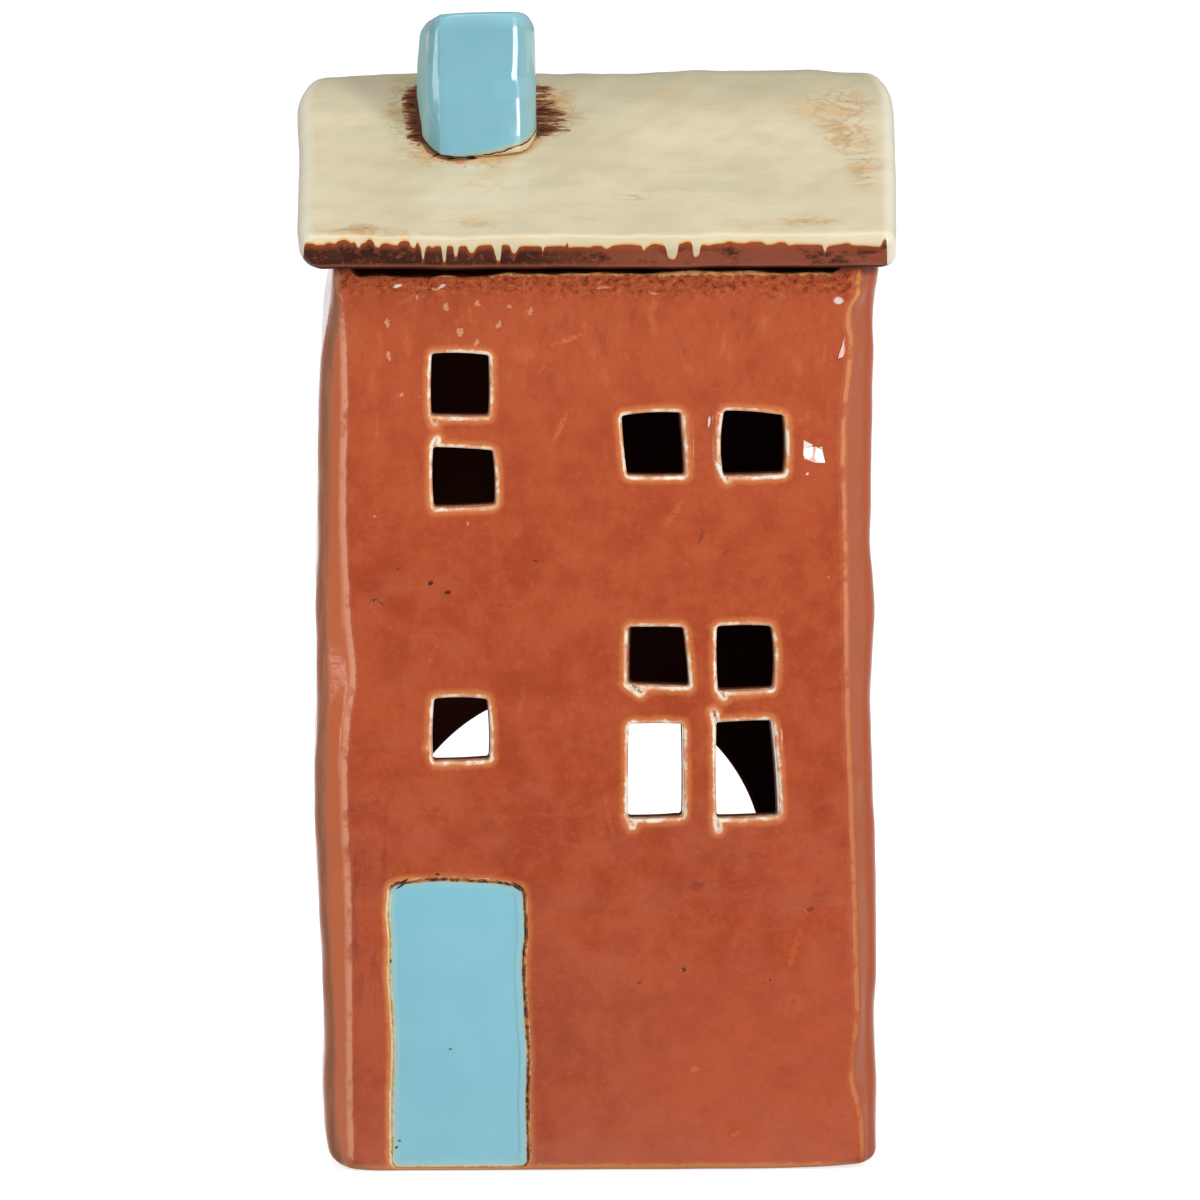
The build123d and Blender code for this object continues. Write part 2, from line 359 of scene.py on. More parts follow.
# Flat tool presses that turn a patch of the face to the right: corners clockwise, slope
FACETS = (
    (((33.3, 118.3), (35.3, 117.2), (36.1, 117.3), (36.8, 114.3), (35.2, 114.3), (33.2, 115.1)),
     0.31),
    (((40.1, 136.3), (40.5, 134.3), (40.3, 132.3), (39.5, 131.4), (38.5, 131.0)), 0.3),
)
# Painted highlights, bright reflections on the tool presses: corners clockwise
PRESS_HIGHLIGHTS = (
    ((33.2, 118.2), (34.7, 117.4), (34.7, 115.6), (34.0, 115.0), (33.1, 115.6)),
    ((35.2, 116.9), (36.2, 117.1), (36.8, 114.4), (35.3, 114.6), (34.9, 115.4)),
)
SIDE_PANES = (
    (((-10.6, 96.2), (-1.6, 96.0), (-1.4, 86.4), (-10.8, 86.6)), (0.2, 0.2, 0.1, 0.2)),
    (((-9.2, 82.6), (-0.4, 82.4), (0.0, 72.6), (-9.4, 72.4)), (0.2, 0.2, 0.1, 0.2)),
)
DOOR_LEFT = smooth_line(
    (3.8, -32.85), (12.3, -32.85), (15.9, -32.7), (19.8, -32.6), (23.5, -32.7), (27.4, -32.93),
    (31.7, -33.17), (37.7, -33.1), (42.2, -33.4), (45.0, -33.2))
DOOR_RIGHT = smooth_line(
    (3.8, -10.8), (12.3, -10.96), (15.9, -10.8), (19.8, -10.8), (23.5, -11.12), (27.4, -11.28),
    (31.7, -11.52), (34.8, -11.52), (37.7, -11.2), (42.2, -11.28), (45.0, -11.4))
DOOR_TOP = smooth_line(
    (-32.5, 46.8), (-28.4, 47.2), (-25.2, 47.4), (-20.3, 47.2), (-15.5, 46.9), (-12.0, 46.3))
DOOR_FOOT = 0.45
# Shallow marks of the front: x, z, radius, depth in
DENTS = (
    (17.0, 45.3, 1.7, 0.3), (35.2, 42.6, 1.9, 0.32), (18.6, 120.8, 0.8, -0.22),
    (-24.5, 94.3, 2.6, 0.12), (-34.5, 91.0, 3.0, 0.15), (0.0, 20.0, 4.0, 0.15),
)
# Small marks of the front glaze: x, z, half length, half width, turn in degrees, strength
PITS = (
    (-26.5, 95.3, 0.8, 0.4, 60, 1.0), (-23.9, 93.8, 0.9, 0.45, 20, 1.0),
    (-35.6, 92.6, 1.0, 0.3, 10, 0.7), (-34.4, 92.0, 0.8, 0.3, -40, 0.7),
    (14.1, 32.5, 0.6, 0.5, 0, 0.9), (27.8, 30.8, 0.5, 0.4, 0, 0.7), (6.9, 30.6, 0.6, 0.4, 30, 0.5),
    (-9.7, 98.8, 0.5, 0.35, 0, 0.6), (-31.6, 97.6, 0.4, 0.3, 0, 0.5),
    (31.3, 15.1, 5.2, 3.2, 10, 0.1), (34.4, 42.2, 0.9, 0.6, 30, 0.5),
    (16.2, 46.0, 1.4, 1.0, 0, 0.3), (19.4, 118.5, 0.5, 0.3, 70, 0.4),
    (16.8, 102.5, 1.6, 0.5, 70, 0.35), (20.8, 100.0, 0.9, 0.5, 50, 0.3),
)
# Pale flecks with dark edges; the pale cores are partly painted highlights on small glaze bumps:
# same measures
FLECKS = (
    (-28.4, 141.3, 0.6, 0.45, 90, 0.45), (-23.9, 139.7, 1.0, 0.5, 80, 0.5),
    (-18.8, 140.3, 0.7, 0.5, 60, 0.5), (-33.3, 137.2, 1.2, 0.55, 95, 0.5),
    (-21.7, 135.7, 1.0, 0.8, 90, 0.6), (-15.5, 136.8, 1.0, 0.55, 75, 0.45),
    (-13.9, 139.8, 0.7, 0.5, 0, 0.35), (-10.5, 139.0, 1.1, 0.55, 80, 0.35),
    (-33.0, 131.9, 1.2, 0.5, 95, 0.45), (-25.5, 142.6, 0.9, 0.35, 15, 0.7),
    (-19.0, 133.9, 0.8, 0.4, 60, 0.5), (-31.0, 125.6, 0.6, 0.3, 60, 0.5),
    (-35.5, 106.2, 0.5, 0.3, 0, 0.35), (-20.4, 104.9, 0.5, 0.35, 90, 0.35),
    (37.2, 96.0, 0.4, 0.3, 0, 0.3), (-28.2, 125.4, 0.5, 0.4, 0, 0.3),
    (1.0, 142.8, 1.6, 0.3, 5, 0.4), (9.0, 141.9, 1.2, 0.3, -8, 0.35),
)
# Painted glints: cream-white highlights on burrs and beads of glaze; same measures
GLINTS = (
    (19.75, 113.5, 2.0, 0.5, -64, 1.0), (6.3, 78.0, 1.1, 0.35, -35, 0.9),
    (20.4, 77.0, 0.9, 0.3, -60, 0.9), (19.6, 55.5, 0.6, 0.45, 90, 0.9),
    (18.1, 121.1, 1.1, 0.26, 85, 0.8), (-31.6, 143.1, 0.9, 0.35, 15, 0.8),
    (38.7, 140.5, 1.0, 0.7, 0, 0.75), (33.8, 112.7, 0.3, 0.25, 0, 0.7),
    (-24.6, 143.0, 0.8, 0.3, 30, 0.6),
)
SCRATCHES = (
    (-4.6, 134.4, 3.6, 0.55, 20, 0.75), (-8.2, 130.5, 2.2, 0.5, 60, 0.4),
    (-5.6, 120.6, 3.4, 0.6, 66, 0.7), (-35.0, 120.5, 2.8, 0.5, 88, 0.35),
    (-30.0, 141.0, 3.0, 0.5, 25, 0.35), (12.8, 106.8, 4.0, 0.7, 55, 0.35),
    (-26.0, 84.0, 2.5, 0.5, 70, 0.25), (2.0, 58.0, 0.5, 5.0, 12, 0.3),
    (33.5, 122.0, 1.6, 0.8, 40, 0.5), (15.9, 16.3, 1.0, 0.7, 0, 0.8),
    (22.3, 5.8, 1.0, 0.6, 10, 0.7), (32.0, 36.0, 5.0, 0.9, 72, 0.4),
    (31.3, 26.7, 3.5, 2.2, 20, 0.25), (-12.0, 76.0, 3.5, 0.5, 80, 0.25),
    (30.0, 60.0, 3.0, 0.6, 75, 0.25),
)
# Dark hairline cracks at the door's corners
CRACKS = (
    (-31.1, 46.9, 1.5, 0.28, 32, 1.0), (-12.4, 46.2, 1.6, 0.28, -35, 1.0),
    (-32.5, 2.3, 1.5, 0.25, -67, 0.9), (-11.9, 1.7, 1.2, 0.25, 25, 0.9),
    (-23.5, 0.9, 1.0, 0.35, 0, 0.9), (-25.4, 48.2, 0.5, 0.3, 0, 0.8),
)
DOOR_PITS = (
    (-31.6, 4.9, 0.35, 0.3, 0, 0.8), (-32.1, 3.8, 0.4, 0.3, 30, 0.9),
    (-33.0, 34.1, 0.35, 0.3, 0, 0.9), (-23.4, 19.8, 0.4, 0.25, 20, 0.7),
    (-31.3, 46.3, 1.3, 0.22, 32, 1.0), (-12.7, 45.9, 1.3, 0.22, -35, 1.0),
)
# Marks at the chimney's foot: x, distance down the slope, half length, half width, turn, strength
FOOT_CRACKS = (
    (-24.8, 25.3, 2.0, 0.3, -38, 1.0), (-22.8, 26.5, 1.0, 0.3, -5, 1.0),
    (-19.4, 26.5, 1.2, 0.42, 0, 1.0), (-9.6, 20.4, 1.2, 0.3, 63, 0.8),
    (-27.9, 22.5, 0.6, 0.3, -30, 0.8),
)
FOOT_CHIPS = (
    (-21.4, 27.5, 1.3, 0.5, 0, 0.9), (-20.6, 28.8, 0.35, 0.3, 0, 0.8),
    (-24.2, 27.3, 0.35, 0.3, 0, 0.8), (-16.1, 25.4, 2.3, 0.35, 12, 0.8),
    (-12.9, 23.6, 0.9, 0.6, 30, 0.8), (-29.0, 22.0, 0.6, 0.5, 0, 0.8),
    (-29.5, 5.3, 0.5, 0.4, 0, 0.8),
)
ARCH_X, ARCH_Z, ARCH_R, ARCH_FLAT = -0.7, 38.4, 30.8, 1.03
FRONT_TOP = smooth_line(
    (-42.4, 150), (-40, 147.5), (-38.6, 145.2), (-36, 144.95), (-8, 144.95), (0, 145.1),
    (12, 145.2), (24, 145.2), (36, 145.05), (38.5, 145.4), (40.2, 147.5), (42.5, 151))


def scrape(x, depth, side, arris, edge):
    """Distance to the facet scraped between the front or back face and a side."""
    run = side * (edge - arris)
    return (side * (x - arris) * SCRAPE_DROP + depth * run) / np.hypot(SCRAPE_DROP, run)


def dents(x, z):
    """How far the listed marks press the front face in."""
    total = 0.0
    for cx, cz, size, deep in DENTS:
        total = total + deep * np.exp(-((x - cx) ** 2 + (z - cz) ** 2) / size ** 2)
    for start, end, width, height in BURRS:
        total = total - height * (1 - ease(stroke(x, z, start, end, 0), 0, width))
    return total


def shell(x, y, z):
    """Outer shape of the four walls as one block."""
    left, right = LEFT_EDGE(z) + LEFT_TAPER * (y - FRONT), RIGHT_EDGE(z)
    left_arris, right_arris = LEFT_ARRIS(z), RIGHT_ARRIS(z)
    ahead, behind = FRONT - y, y - BACK
    face = np.maximum(ahead + dents(x, z) * (y < 0), behind)
    facet = np.maximum(
        np.maximum(
            scrape(x, ahead, -1, left_arris, left), scrape(x, ahead, 1, right_arris, right)),
        np.maximum(
            scrape(x, behind, -1, left_arris, left), scrape(x, behind, 1, right_arris, right)))
    field = smooth_max(face, facet, 0.8)
    field = smooth_max(field, np.maximum(left - x, x - right), 1.8)
    field = field + 0.13 * waves(x, y, z, 30, 11) + 0.05 * waves(x, y, z, 9, 12)
    foot = RIGHT_FOOT(x) * ease(-y, 0, 30)
    return both(field, foot - z, 0.6 + 2.4 * ease(-x, 34, 42) + 1.6 * ease(x, 37, 43))


def slope_field(y, z, side):
    """Height above the outer roof plane of one side: -1 front, 1 back."""
    return side * y * sin(PITCH) + (z - APEX) * cos(PITCH)


def down_slope(y, z):
    """Distance from the ridge along either slope."""
    return np.abs(y) * cos(PITCH) - (z - APEX) * sin(PITCH)


ROOF_LEFT = smooth_line(
    (0, -44.3), (2.8, -45.7), (5.4, -46.7), (7.6, -47.1), (14, -47.25), (21, -47.1), (31, -47.3),
    (39, -47.5), (45, -47.6), (50, -47.3))
ROOF_RIGHT = smooth_line(
    (0, 46.3), (2.3, 47.8), (5.3, 48.7), (7.6, 49.0), (12, 49.1), (16, 49.0), (22, 48.8),
    (30, 48.6), (36, 48.35), (42, 48.1), (50, 47.8))
RIDGE_LIFT = smooth_line(
    (-47, -0.5), (-43.7, -0.34), (-39.7, -0.25), (-35.6, 0.03), (-31.6, 0.2), (-7.1, -0.07),
    (1, -0.2), (9.2, 0), (13.3, 0.39), (17.3, 0.7), (25.5, 0.68), (37.7, 0.7), (41.8, 0.44),
    (47, 0.3))


def roof(x, y, z):
    """Both roof slabs as one field."""
    front, back = slope_field(y, z, -1), slope_field(y, z, 1)
    down = down_slope(y, z)
    outer = smooth_max(front, back, 2.6) - RIDGE_LIFT(x) * (1 - ease(down, 3, 30))
    outer = outer + 0.16 * waves(x, y, z, 22, 21) + 0.05 * waves(x, y, z, 6, 22)
    under = -SLAB - 0.4 * ease(down, 44, 48) - np.maximum(front, back)
    tuck = 0.9 * ease(y, -2, 8)
    ends = np.maximum(x - ROOF_RIGHT(down) + tuck, ROOF_LEFT(down) + tuck - x)
    eave = down - SLOPE_LENGTH + 0.12 * waves(x, 0 * y, 0 * z, 14, 23) + 0.14 * ease(y, -2, 8)
    field = both(outer, eave, 2.2)
    field = both(field, ends, 2.2)
    return both(field, under, 0.8 + 2.4 * ease(-x, 43.5, 47) + 0.6 * ease(x, 45, 47))


def under_roof(field, x, y, z):
    """Walls go up to the roof slabs and meet them with a small fillet of clay."""
    middle = (z - APEX) * cos(PITCH) + np.abs(y) * sin(PITCH) + SLAB - 0.7
    slab = roof(x, y, z)
    return np.maximum(either(np.maximum(field, middle), slab, 1.3), 0.02 - slab)


def front_panes(x, z, depth=0.0):
    """Distance to the nearest front window, in the plane of the wall."""
    return nearest(quad(x, z, corners, bow, 0.4, depth, lean) for corners, bow, lean in PANES)


def overcuts(x, z):
    """Distance to the nearest over-cut."""
    return nearest(stroke(x, z, *cut) for cut in OVERCUTS)


def door_outline(x, z):
    """Distance to the door's outline, in the plane of the wall."""
    sides = np.maximum(DOOR_LEFT(z) - x, x - DOOR_RIGHT(z))
    return both(both(sides, z - DOOR_TOP(x), 1.6), DOOR_FOOT - z, 1.2)


def side_panes(y, z):
    """Distance to the nearest side window, in the plane of the wall."""
    return nearest(quad(y, z, corners, bow, 0.4) for corners, bow in SIDE_PANES)


def archway(x, z):
    """Distance to the back arch: half-round head a little flattened, straight jambs."""
    over = z - ARCH_Z
    round_head = np.hypot(x - ARCH_X, np.maximum(over, 0) * ARCH_FLAT) - ARCH_R
    head = np.where(over > 0, round_head, np.abs(x - ARCH_X) - ARCH_R)
    return both(head, SILL - z, 1.5)


def front_wall(x, y, z):
    """Front slab with its corners, windows, door seat and low top."""
    skin = shell(x, y, z)
    inner = y - INNER_FRONT + 0.08 * waves(x, y, z, 20, 31)
    top = z - FRONT_TOP(x)
    top = top + 0.12 * waves(x, 0 * y, 0 * z, 11, 32) + 0.06 * waves(x, y, 0 * z, 3.5, 35)
    field = both(skin, top, 0.5)
    hole = front_panes(x, z, y - FRONT)
    field = field - 0.04 * np.exp(-((hole - 0.8) / 0.45) ** 2) * ease(-y, 38, 38.6)
    field = np.maximum(field, inner)
    field = both(field, -hole, 0.42)
    seat = both(door_outline(x, z) + 0.04, y - DOOR_SEAT, 0.3)
    field = both(field, -seat, 0.22)
    groove = np.maximum(overcuts(x, z), y - FRONT - GROOVE)
    field = both(field, -groove, 0.2)
    return under_roof(field, x, y, z)


def back_wall(x, y, z):
    """Back slab with the tall arch that the tealight goes in by."""
    field = np.maximum(shell(x, y, z), INNER_BACK - y + 0.08 * waves(x, y, z, 20, 33))
    field = both(field, -archway(x, z), 0.9)
    return under_roof(field, x, y, z)


def side_wall(side, x, y, z):
    """Gable slab between the front and back walls; its laps hide under their skins."""
    lap = ease(np.abs(y), INNER_BACK - SEAM_LAP, INNER_BACK)
    field = shell(x, y, z) + SEAM * lap
    inner = INNER_SIDE - side * x + 0.08 * waves(x, y, z, 20, 34)
    field = np.maximum(field, inner)
    field = np.maximum(field, np.abs(y) - INNER_BACK - SEAM_LAP)
    if side < 0:
        field = both(field, -side_panes(y, z), 0.6)
    return under_roof(field, x, y, z)


def roof_front(x, y, z):
    return np.maximum(roof(x, y, z), y)


def roof_back(x, y, z):
    return np.maximum(roof(x, y, z) + SEAM * (y < 0.5), -y - 0.4)


CHIMNEY_X, CHIMNEY_Y, CHIMNEY_TURN = -18.35, -12.9, radians(5.0)
CHIMNEY_HALF = smooth_line((150, 9.3), (164, 9.25), (174, 9.1), (180, 8.95), (184, 8.75))
CHIMNEY_BULGE = smooth_line((160, 2.5), (163, 2.2), (166, 1.85), (171, 1.6), (175, 1.1), (184, 1.0))
CHIMNEY_TOP, CHIMNEY_FALL = 185.4, 0.15
CHIMNEY_DEEP = 8.6
BOW_AT, BOW_REACH = -2.0, 11.2
CREASE, CREASE_TURN = 7.16, radians(33)
PRESSED = smooth_line((172, 4.9), (175, 4.5), (177.5, 4.8), (180, 4.45), (182.5, 4.7), (185, 4.4))


def chimney_local(x, y):
    """Place in the chimney's own plan: u to its right, v to its back."""
    dx, dy = x - CHIMNEY_X, y - CHIMNEY_Y
    c, s = cos(CHIMNEY_TURN), sin(CHIMNEY_TURN)
    return dx * c + dy * s, dy * c - dx * s


def chimney(x, y, z):
    """Soft closed block; its foot sits on the slope with a crack all round."""
    u, v = chimney_local(x, y)
    half = CHIMNEY_HALF(z)
    bow = CHIMNEY_BULGE(z) * (1 - np.clip(np.abs(u - BOW_AT) / BOW_REACH, 0, 1) ** 4)
    front = -v - CHIMNEY_DEEP - bow + 0.1 * np.maximum(u - PRESSED(z), 0) * ease(z, 173.6, 175)
    crease = CHIMNEY_DEEP + CHIMNEY_BULGE(z) * (1 - ((-BOW_AT - CREASE) / BOW_REACH) ** 4)
    flat = (-v - crease) * cos(CREASE_TURN) - (u + CREASE) * sin(CREASE_TURN)
    side = both(np.maximum(front, flat), u + 0.1 - half, 3.5)
    side = both(side, 0.25 * ease(z, 175, 180) - u - 0.1 - half, 1.0 + 3.6 * ease(-z, -171, -162))
    side = both(side, v - CHIMNEY_DEEP, 3.9)
    side = side + 0.05 * waves(x, y, z, 12, 41) + 0.02 * waves(x, y, z, 5, 42)
    top = z - CHIMNEY_TOP + CHIMNEY_FALL * (v + 9) - 0.015 * u + 0.003 * u * u
    field = both(side, top, 1.0 + 1.8 * ease(-u, 4.5, 8.5) + 1.9 * ease(u, 4.5, 8.5))
    foot = roof(x, y, z) + 0.12 * waves(x, y, z, 4, 43)
    return both(field, 0.1 - foot, 0.7)


def door(x, y, z):
    """Thin slab of blue-glazed clay, a little domed, resting in its seat."""
    outline = door_outline(x, z)
    dome = 0.2 + 0.25 * ease(-outline, 0, 6) + 0.05 * waves(x, y, z, 12, 51)
    field = both(outline, DOOR_FACE - y - dome, 0.25)
    return both(field, y - DOOR_SEAT + 0.02, 0.2)


# Measures kept on the points for the glazes


def arris_note(x, y, z):
    """How far inside the front's scraped edges a point lies."""
    return np.minimum(x - LEFT_ARRIS(z), RIGHT_ARRIS(z) - x)


def corner_note(x, y, z):
    """Distance of a point from the outer edge of the scraped corners."""
    return np.minimum(x - LEFT_EDGE(z) - LEFT_TAPER * (y - FRONT), RIGHT_EDGE(z) - x)


def wall_notes(opening, doorway=lambda x, y, z: FAR):
    """Measures of a wall; opening and doorway are distances to them."""
    return {
        "opening": opening, "doorway": doorway, "arris": arris_note, "corner": corner_note,
        "deep": lambda x, y, z: -shell(x, y, z),
    }


def build_front_wall():
    x_marks = (-44, -40, -32.4, -26, -16.9, -11, 4.9, 14.1, 20, 29, 41, 44.6)
    z_marks = (
        1, 47.3, 57.2, 66.6, 72.5, 76.5, 78.2, 88.1, 107.7, 112.4, 117, 122.3, 132, 144.9, 147.5)
    notes = wall_notes(lambda x, y, z: np.minimum(front_panes(x, z), overcuts(x, z)),
                       lambda x, y, z: door_outline(x, z))
    clay("front_wall_clay", "front_wall", "terracotta_glaze", front_wall, (
        lines(-46, 46.5, 1.1, 0.34, x_marks, 1.1), lines(-40.5, -32.6, 1.0, 0.3, (-38.8,), 0.9),
        lines(-0.6, 153, 1.3, 0.36, z_marks, 1.0)), notes)


def build_back_wall():
    clay("back_wall_clay", "back_wall", "terracotta_glaze", back_wall, (
        lines(-46, 46.5, 1.0, 0.6, (-44, -40, -31.5, 30, 41, 44)),
        lines(32.6, 40.5, 0.8, 0.4, (34, 38.8)),
        lines(-0.6, 153, 1.3, 0.6, (1, 5, 60, 69, 145))), wall_notes(lambda x, y, z: archway(x, z)))


def build_side_walls():
    clay("left_wall_clay", "left_wall", "terracotta_glaze", partial(side_wall, -1), (
        lines(-46, -38, 0.8, 0.4, (-44, -39.1)),
        lines(-34.9, 34.9, 1.3, 0.4, (-34.1, -10.3, -1, 34.1)),
        lines(-0.6, 171, 1.4, 0.4, (1, 72.5, 82.5, 86.5, 96.1))),
        wall_notes(lambda x, y, z: side_panes(y, z)))
    clay("right_wall_clay", "right_wall", "terracotta_glaze", partial(side_wall, 1), (
        lines(38, 46.6, 0.8, 0.5, (39.1, 44.5)), lines(-34.9, 34.9, 1.3, 0.6, (-34.1, 34.1)),
        lines(-0.6, 171, 1.5, 0.6, (1, 150))), wall_notes(lambda x, y, z: FAR))


# Lower edge of the cream glaze on the eave, read off the photograph in its pixels
EAVE_LINE = (
    (306, 262), (307, 250), (309.6, 245.5), (315, 244.8), (319, 246.5), (325, 246.5),
    (331.5, 244.5), (336.5, 245.5), (341, 243), (347, 241.5), (351, 243.2), (354, 244.8),
    (356, 244), (359, 248), (361, 249.6), (363.5, 246.2), (368, 244), (371.3, 240.8), (375.5, 244),
    (378, 248.8), (380.6, 249.4), (383.5, 246.3), (388, 245.1), (393, 246.5), (398.5, 247.6),
    (401, 245.4), (404, 243.3), (407.5, 243.2), (411, 244.8), (413, 248.9), (416.5, 250.2),
    (419.1, 245.4), (421, 247.5), (423.4, 252.5), (424.9, 261.2), (426.3, 256.6), (428.2, 249.9),
    (430.6, 248.1), (434, 249.4), (438, 248), (441.6, 248), (443.5, 252), (444.6, 259.5),
    (446, 263.3), (447.4, 261.5), (448.3, 250.8), (450, 247.6), (453.8, 248), (455.4, 251),
    (456.9, 257.8), (459, 256.5), (460, 250), (462, 248), (466, 247.6), (470, 252), (473.4, 254.6),
    (476.8, 251.5), (480.5, 248), (486, 247.2), (491.5, 247.2), (494, 249), (496.5, 256),
    (499, 262.8), (501.6, 262.8), (502.6, 250), (505, 247), (509.5, 247.4), (512.2, 251.5),
    (515.5, 255.3), (518.5, 252.5), (521.5, 248.8), (526, 248), (535, 248.2), (541, 248.6),
    (543, 250.5), (543.9, 253.7), (545, 250.8), (549, 248.6), (561, 248.6), (566.4, 249),
    (568.1, 245.8), (569.8, 250), (580, 249.4), (590, 249.6), (596, 248), (602, 248.2),
    (607.2, 250.8), (611, 249.2), (616, 247.6), (627, 246.8), (637, 247.6), (641.5, 248.4),
    (643, 251.3), (644.2, 252.7), (646, 250.8), (648.8, 248.8), (656, 246.2), (663, 247.2),
    (666.3, 250.5), (668, 257), (670.3, 260.4), (673.5, 261.2), (676.5, 259), (678.4, 252),
    (679.6, 246.4), (683, 245.3), (687.5, 244.1), (691, 245.3), (693, 249), (694, 257.5),
    (696.6, 259.6), (699.6, 257.2), (701, 249), (704, 247.6), (708, 248.4), (715, 247.4),
    (724, 246.5), (729.5, 244.8), (735, 246), (744, 246.5), (752, 244.9), (760, 244.9), (768, 248),
    (774, 247.2), (780, 245.3), (785, 246), (789, 248.6), (797, 247.6), (806, 247.6), (818, 247.5),
    (822, 248.6), (823.3, 252.8), (824.7, 254.7), (826.4, 251), (829, 249), (840, 247.2),
    (847, 246.2), (852, 248.5), (865, 249.4), (878, 250.4), (881.5, 246.5), (884.6, 242.4),
    (886, 243.5), (887, 262),
)
EAVE_MIDDLE, EAVE_PIXEL, EAVE_BRINK = 597.6, 0.1601, 238.5
EAVE_ROUND, EAVE_SPLIT = 2.2, 16.0


def under_note(x, y, z):
    """Depth of a roof point below the outer plane."""
    return -np.maximum(slope_field(y, z, -1), slope_field(y, z, 1))


def foot_note(x, y, z):
    """Distance of a roof point from the chimney's foot."""
    u, v = chimney_local(x, y)
    bulge = 2.2 * (1 - np.clip((u - BOW_AT) / BOW_REACH, -1, 1) ** 2)
    a, b = np.abs(u) - 5.4, np.abs(v) - 4.7 - bulge * (v < 0)
    return np.hypot(np.maximum(a, 0), np.maximum(b, 0)) + np.minimum(np.maximum(a, b), 0) - 3.9


# Where the cream glaze is stained: x, distance down the slope, half sizes, strength
STAINS = (
    (-30.5, 11.0, 2.4, 9.0, 0.9), (-5.5, 7.5, 3.2, 4.0, 0.75), (-3.6, 14.0, 3.0, 3.0, 0.7),
    (-26.5, 24.0, 3.0, 4.0, 0.6), (-17.0, 27.5, 4.0, 2.0, 0.5), (-39.0, 46.0, 6.5, 2.0, 0.55),
    (-32.0, 47.6, 8.0, 1.2, 0.4), (-19.0, 44.5, 6.5, 2.2, 0.42), (-17.0, 34.0, 9.0, 4.5, 0.3),
    (41.0, 10.0, 5.5, 5.0, 0.55), (40.5, 19.0, 5.0, 6.0, 0.62), (43.5, 30.0, 3.5, 7.0, 0.5),
    (33.0, 12.0, 4.0, 3.0, 0.3), (34.0, 45.0, 7.0, 2.2, 0.5), (6.0, 37.5, 3.6, 1.2, 0.6),
    (20.0, 33.0, 5.0, 2.0, 0.2), (-38.0, 16.0, 5.0, 3.0, 0.22), (0.0, 44.0, 9.0, 2.5, 0.25),
    (-31.0, 28.0, 6.0, 5.0, 0.2), (22.0, 45.5, 5.0, 2.0, 0.3),
)


def stain_note(x, y, z):
    """How strongly the cream glaze is stained."""
    down, total = down_slope(y, z), 0.0
    for cx, cd, wide, tall, strength in STAINS:
        total = total + strength * np.exp(-((x - cx) / wide) ** 2 - ((down - cd) / tall) ** 2)
    return total * (y < 0.5)


def burn_note(x, y, z):
    """How far the glaze is burnt beside the chimney, from its foot outward."""
    down, off = down_slope(y, z), foot_note(x, y, z)
    left = np.clip(1.5 - off / 1.9, 0, 0.95) * ease(down, 1.5, 4) * (1 - ease(down, 20, 23))
    right = np.clip(1.1 - off / 5.6, 0, 0.9) * (1 - ease(down, 18, 20.5))
    right = right * (0.5 * ease(down, 2.5, 5) + 0.5 * ease(down, 9.5, 12))
    return np.where(x < CHIMNEY_X, left, right) * (y < 0.5)


def end_note(x, y, z):
    """Distance of a roof point from the nearer end."""
    return np.minimum(x - ROOF_LEFT(down_slope(y, z)), ROOF_RIGHT(down_slope(y, z)) - x)


def build_roof():
    notes = {
        "under": under_note, "foot": foot_note, "stain": stain_note, "burn": burn_note,
        "down": lambda x, y, z: down_slope(y, z), "end": end_note,
    }
    down = lines(-1.5, 51.5, 0.9, 0.35, (0, 49.9), 2.4)
    up = lines(-7.6, 1.6, 0.9, 0.35, (-5, -1, 0), 0.8)
    for node, field, side, coarse, fine in (
            ("roof_front", roof_front, -1, 0.55, 0.35), ("roof_back", roof_back, 1, 1.0, 0.4)):
        turn = np.array((
            (1, 0, 0), (0, side * cos(PITCH), side * sin(PITCH)), (0, -sin(PITCH), cos(PITCH))))
        across = lines(-49, 50.4, coarse, fine, (-47, 48.5), 1.5)
        clay(node + "_clay", node, "cream_glaze", field, (across, down, up), notes, turn,
             (0, 0, APEX))


def build_chimney():
    clay("chimney_clay", "chimney", "blue_glaze", chimney, (
        lines(-29.5, -7.2, 0.5, 0.3, (-25.5,), 1.6), lines(-25, -1.8, 0.6, 0.5),
        lines(160.5, 186.4, 0.6, 0.45)), {"top": lambda x, y, z: CHIMNEY_TOP - z, "gap": roof})


def build_door():
    clay("door_clay", "door_panel", "blue_glaze", door, (
        lines(-34.5, -8.8, 0.9, 0.3, (-32.6, -10.6)), lines(-39.6, -36.2, 0.4, 0.25),
        lines(-0.5, 48.6, 0.9, 0.3, (0.6, 47.2))),
        {"rim": lambda x, y, z: np.minimum(-door_outline(x, z), z)})


# Tealight

WAX_TOP, WICK_FOOT, WICK_TOP = 17.0, 10.1, 21.75


def ring_mesh(name, rings):
    """Closed object from rings of points, each an (n, 3) array in millimetres."""
    count = len(rings[0])
    quads = []
    for i in range(len(rings) - 1):
        a = np.arange(count) + i * count
        b = np.roll(a, -1)
        quads.append(np.stack((a, b, b + count, a + count), 1))
    faces = np.concatenate(quads).tolist()
    points = np.concatenate((*rings, rings[0].mean(0)[None], rings[-1].mean(0)[None]))
    first, last, top = len(points) - 2, len(points) - 1, (len(rings) - 1) * count
    for k in range(count):
        n = (k + 1) % count
        faces += [(first, n, k), (last, top + k, top + n)]
    mesh = bpy.data.meshes.new(name)
    mesh.from_pydata((points * MM).tolist(), [], faces)
    mesh.update()
    mesh.validate()
    mesh.polygons.foreach_set("use_smooth", np.ones(len(mesh.polygons), bool))
    return shown(name, mesh)


def round_angles(count):
    return np.linspace(0, 2 * pi, count, endpoint=False)


def ring(angle, r, height, lean=0.0):
    """Level ring of points of radius r."""
    return np.stack((lean + r * np.cos(angle), r * np.sin(angle), 0 * angle + height), 1)


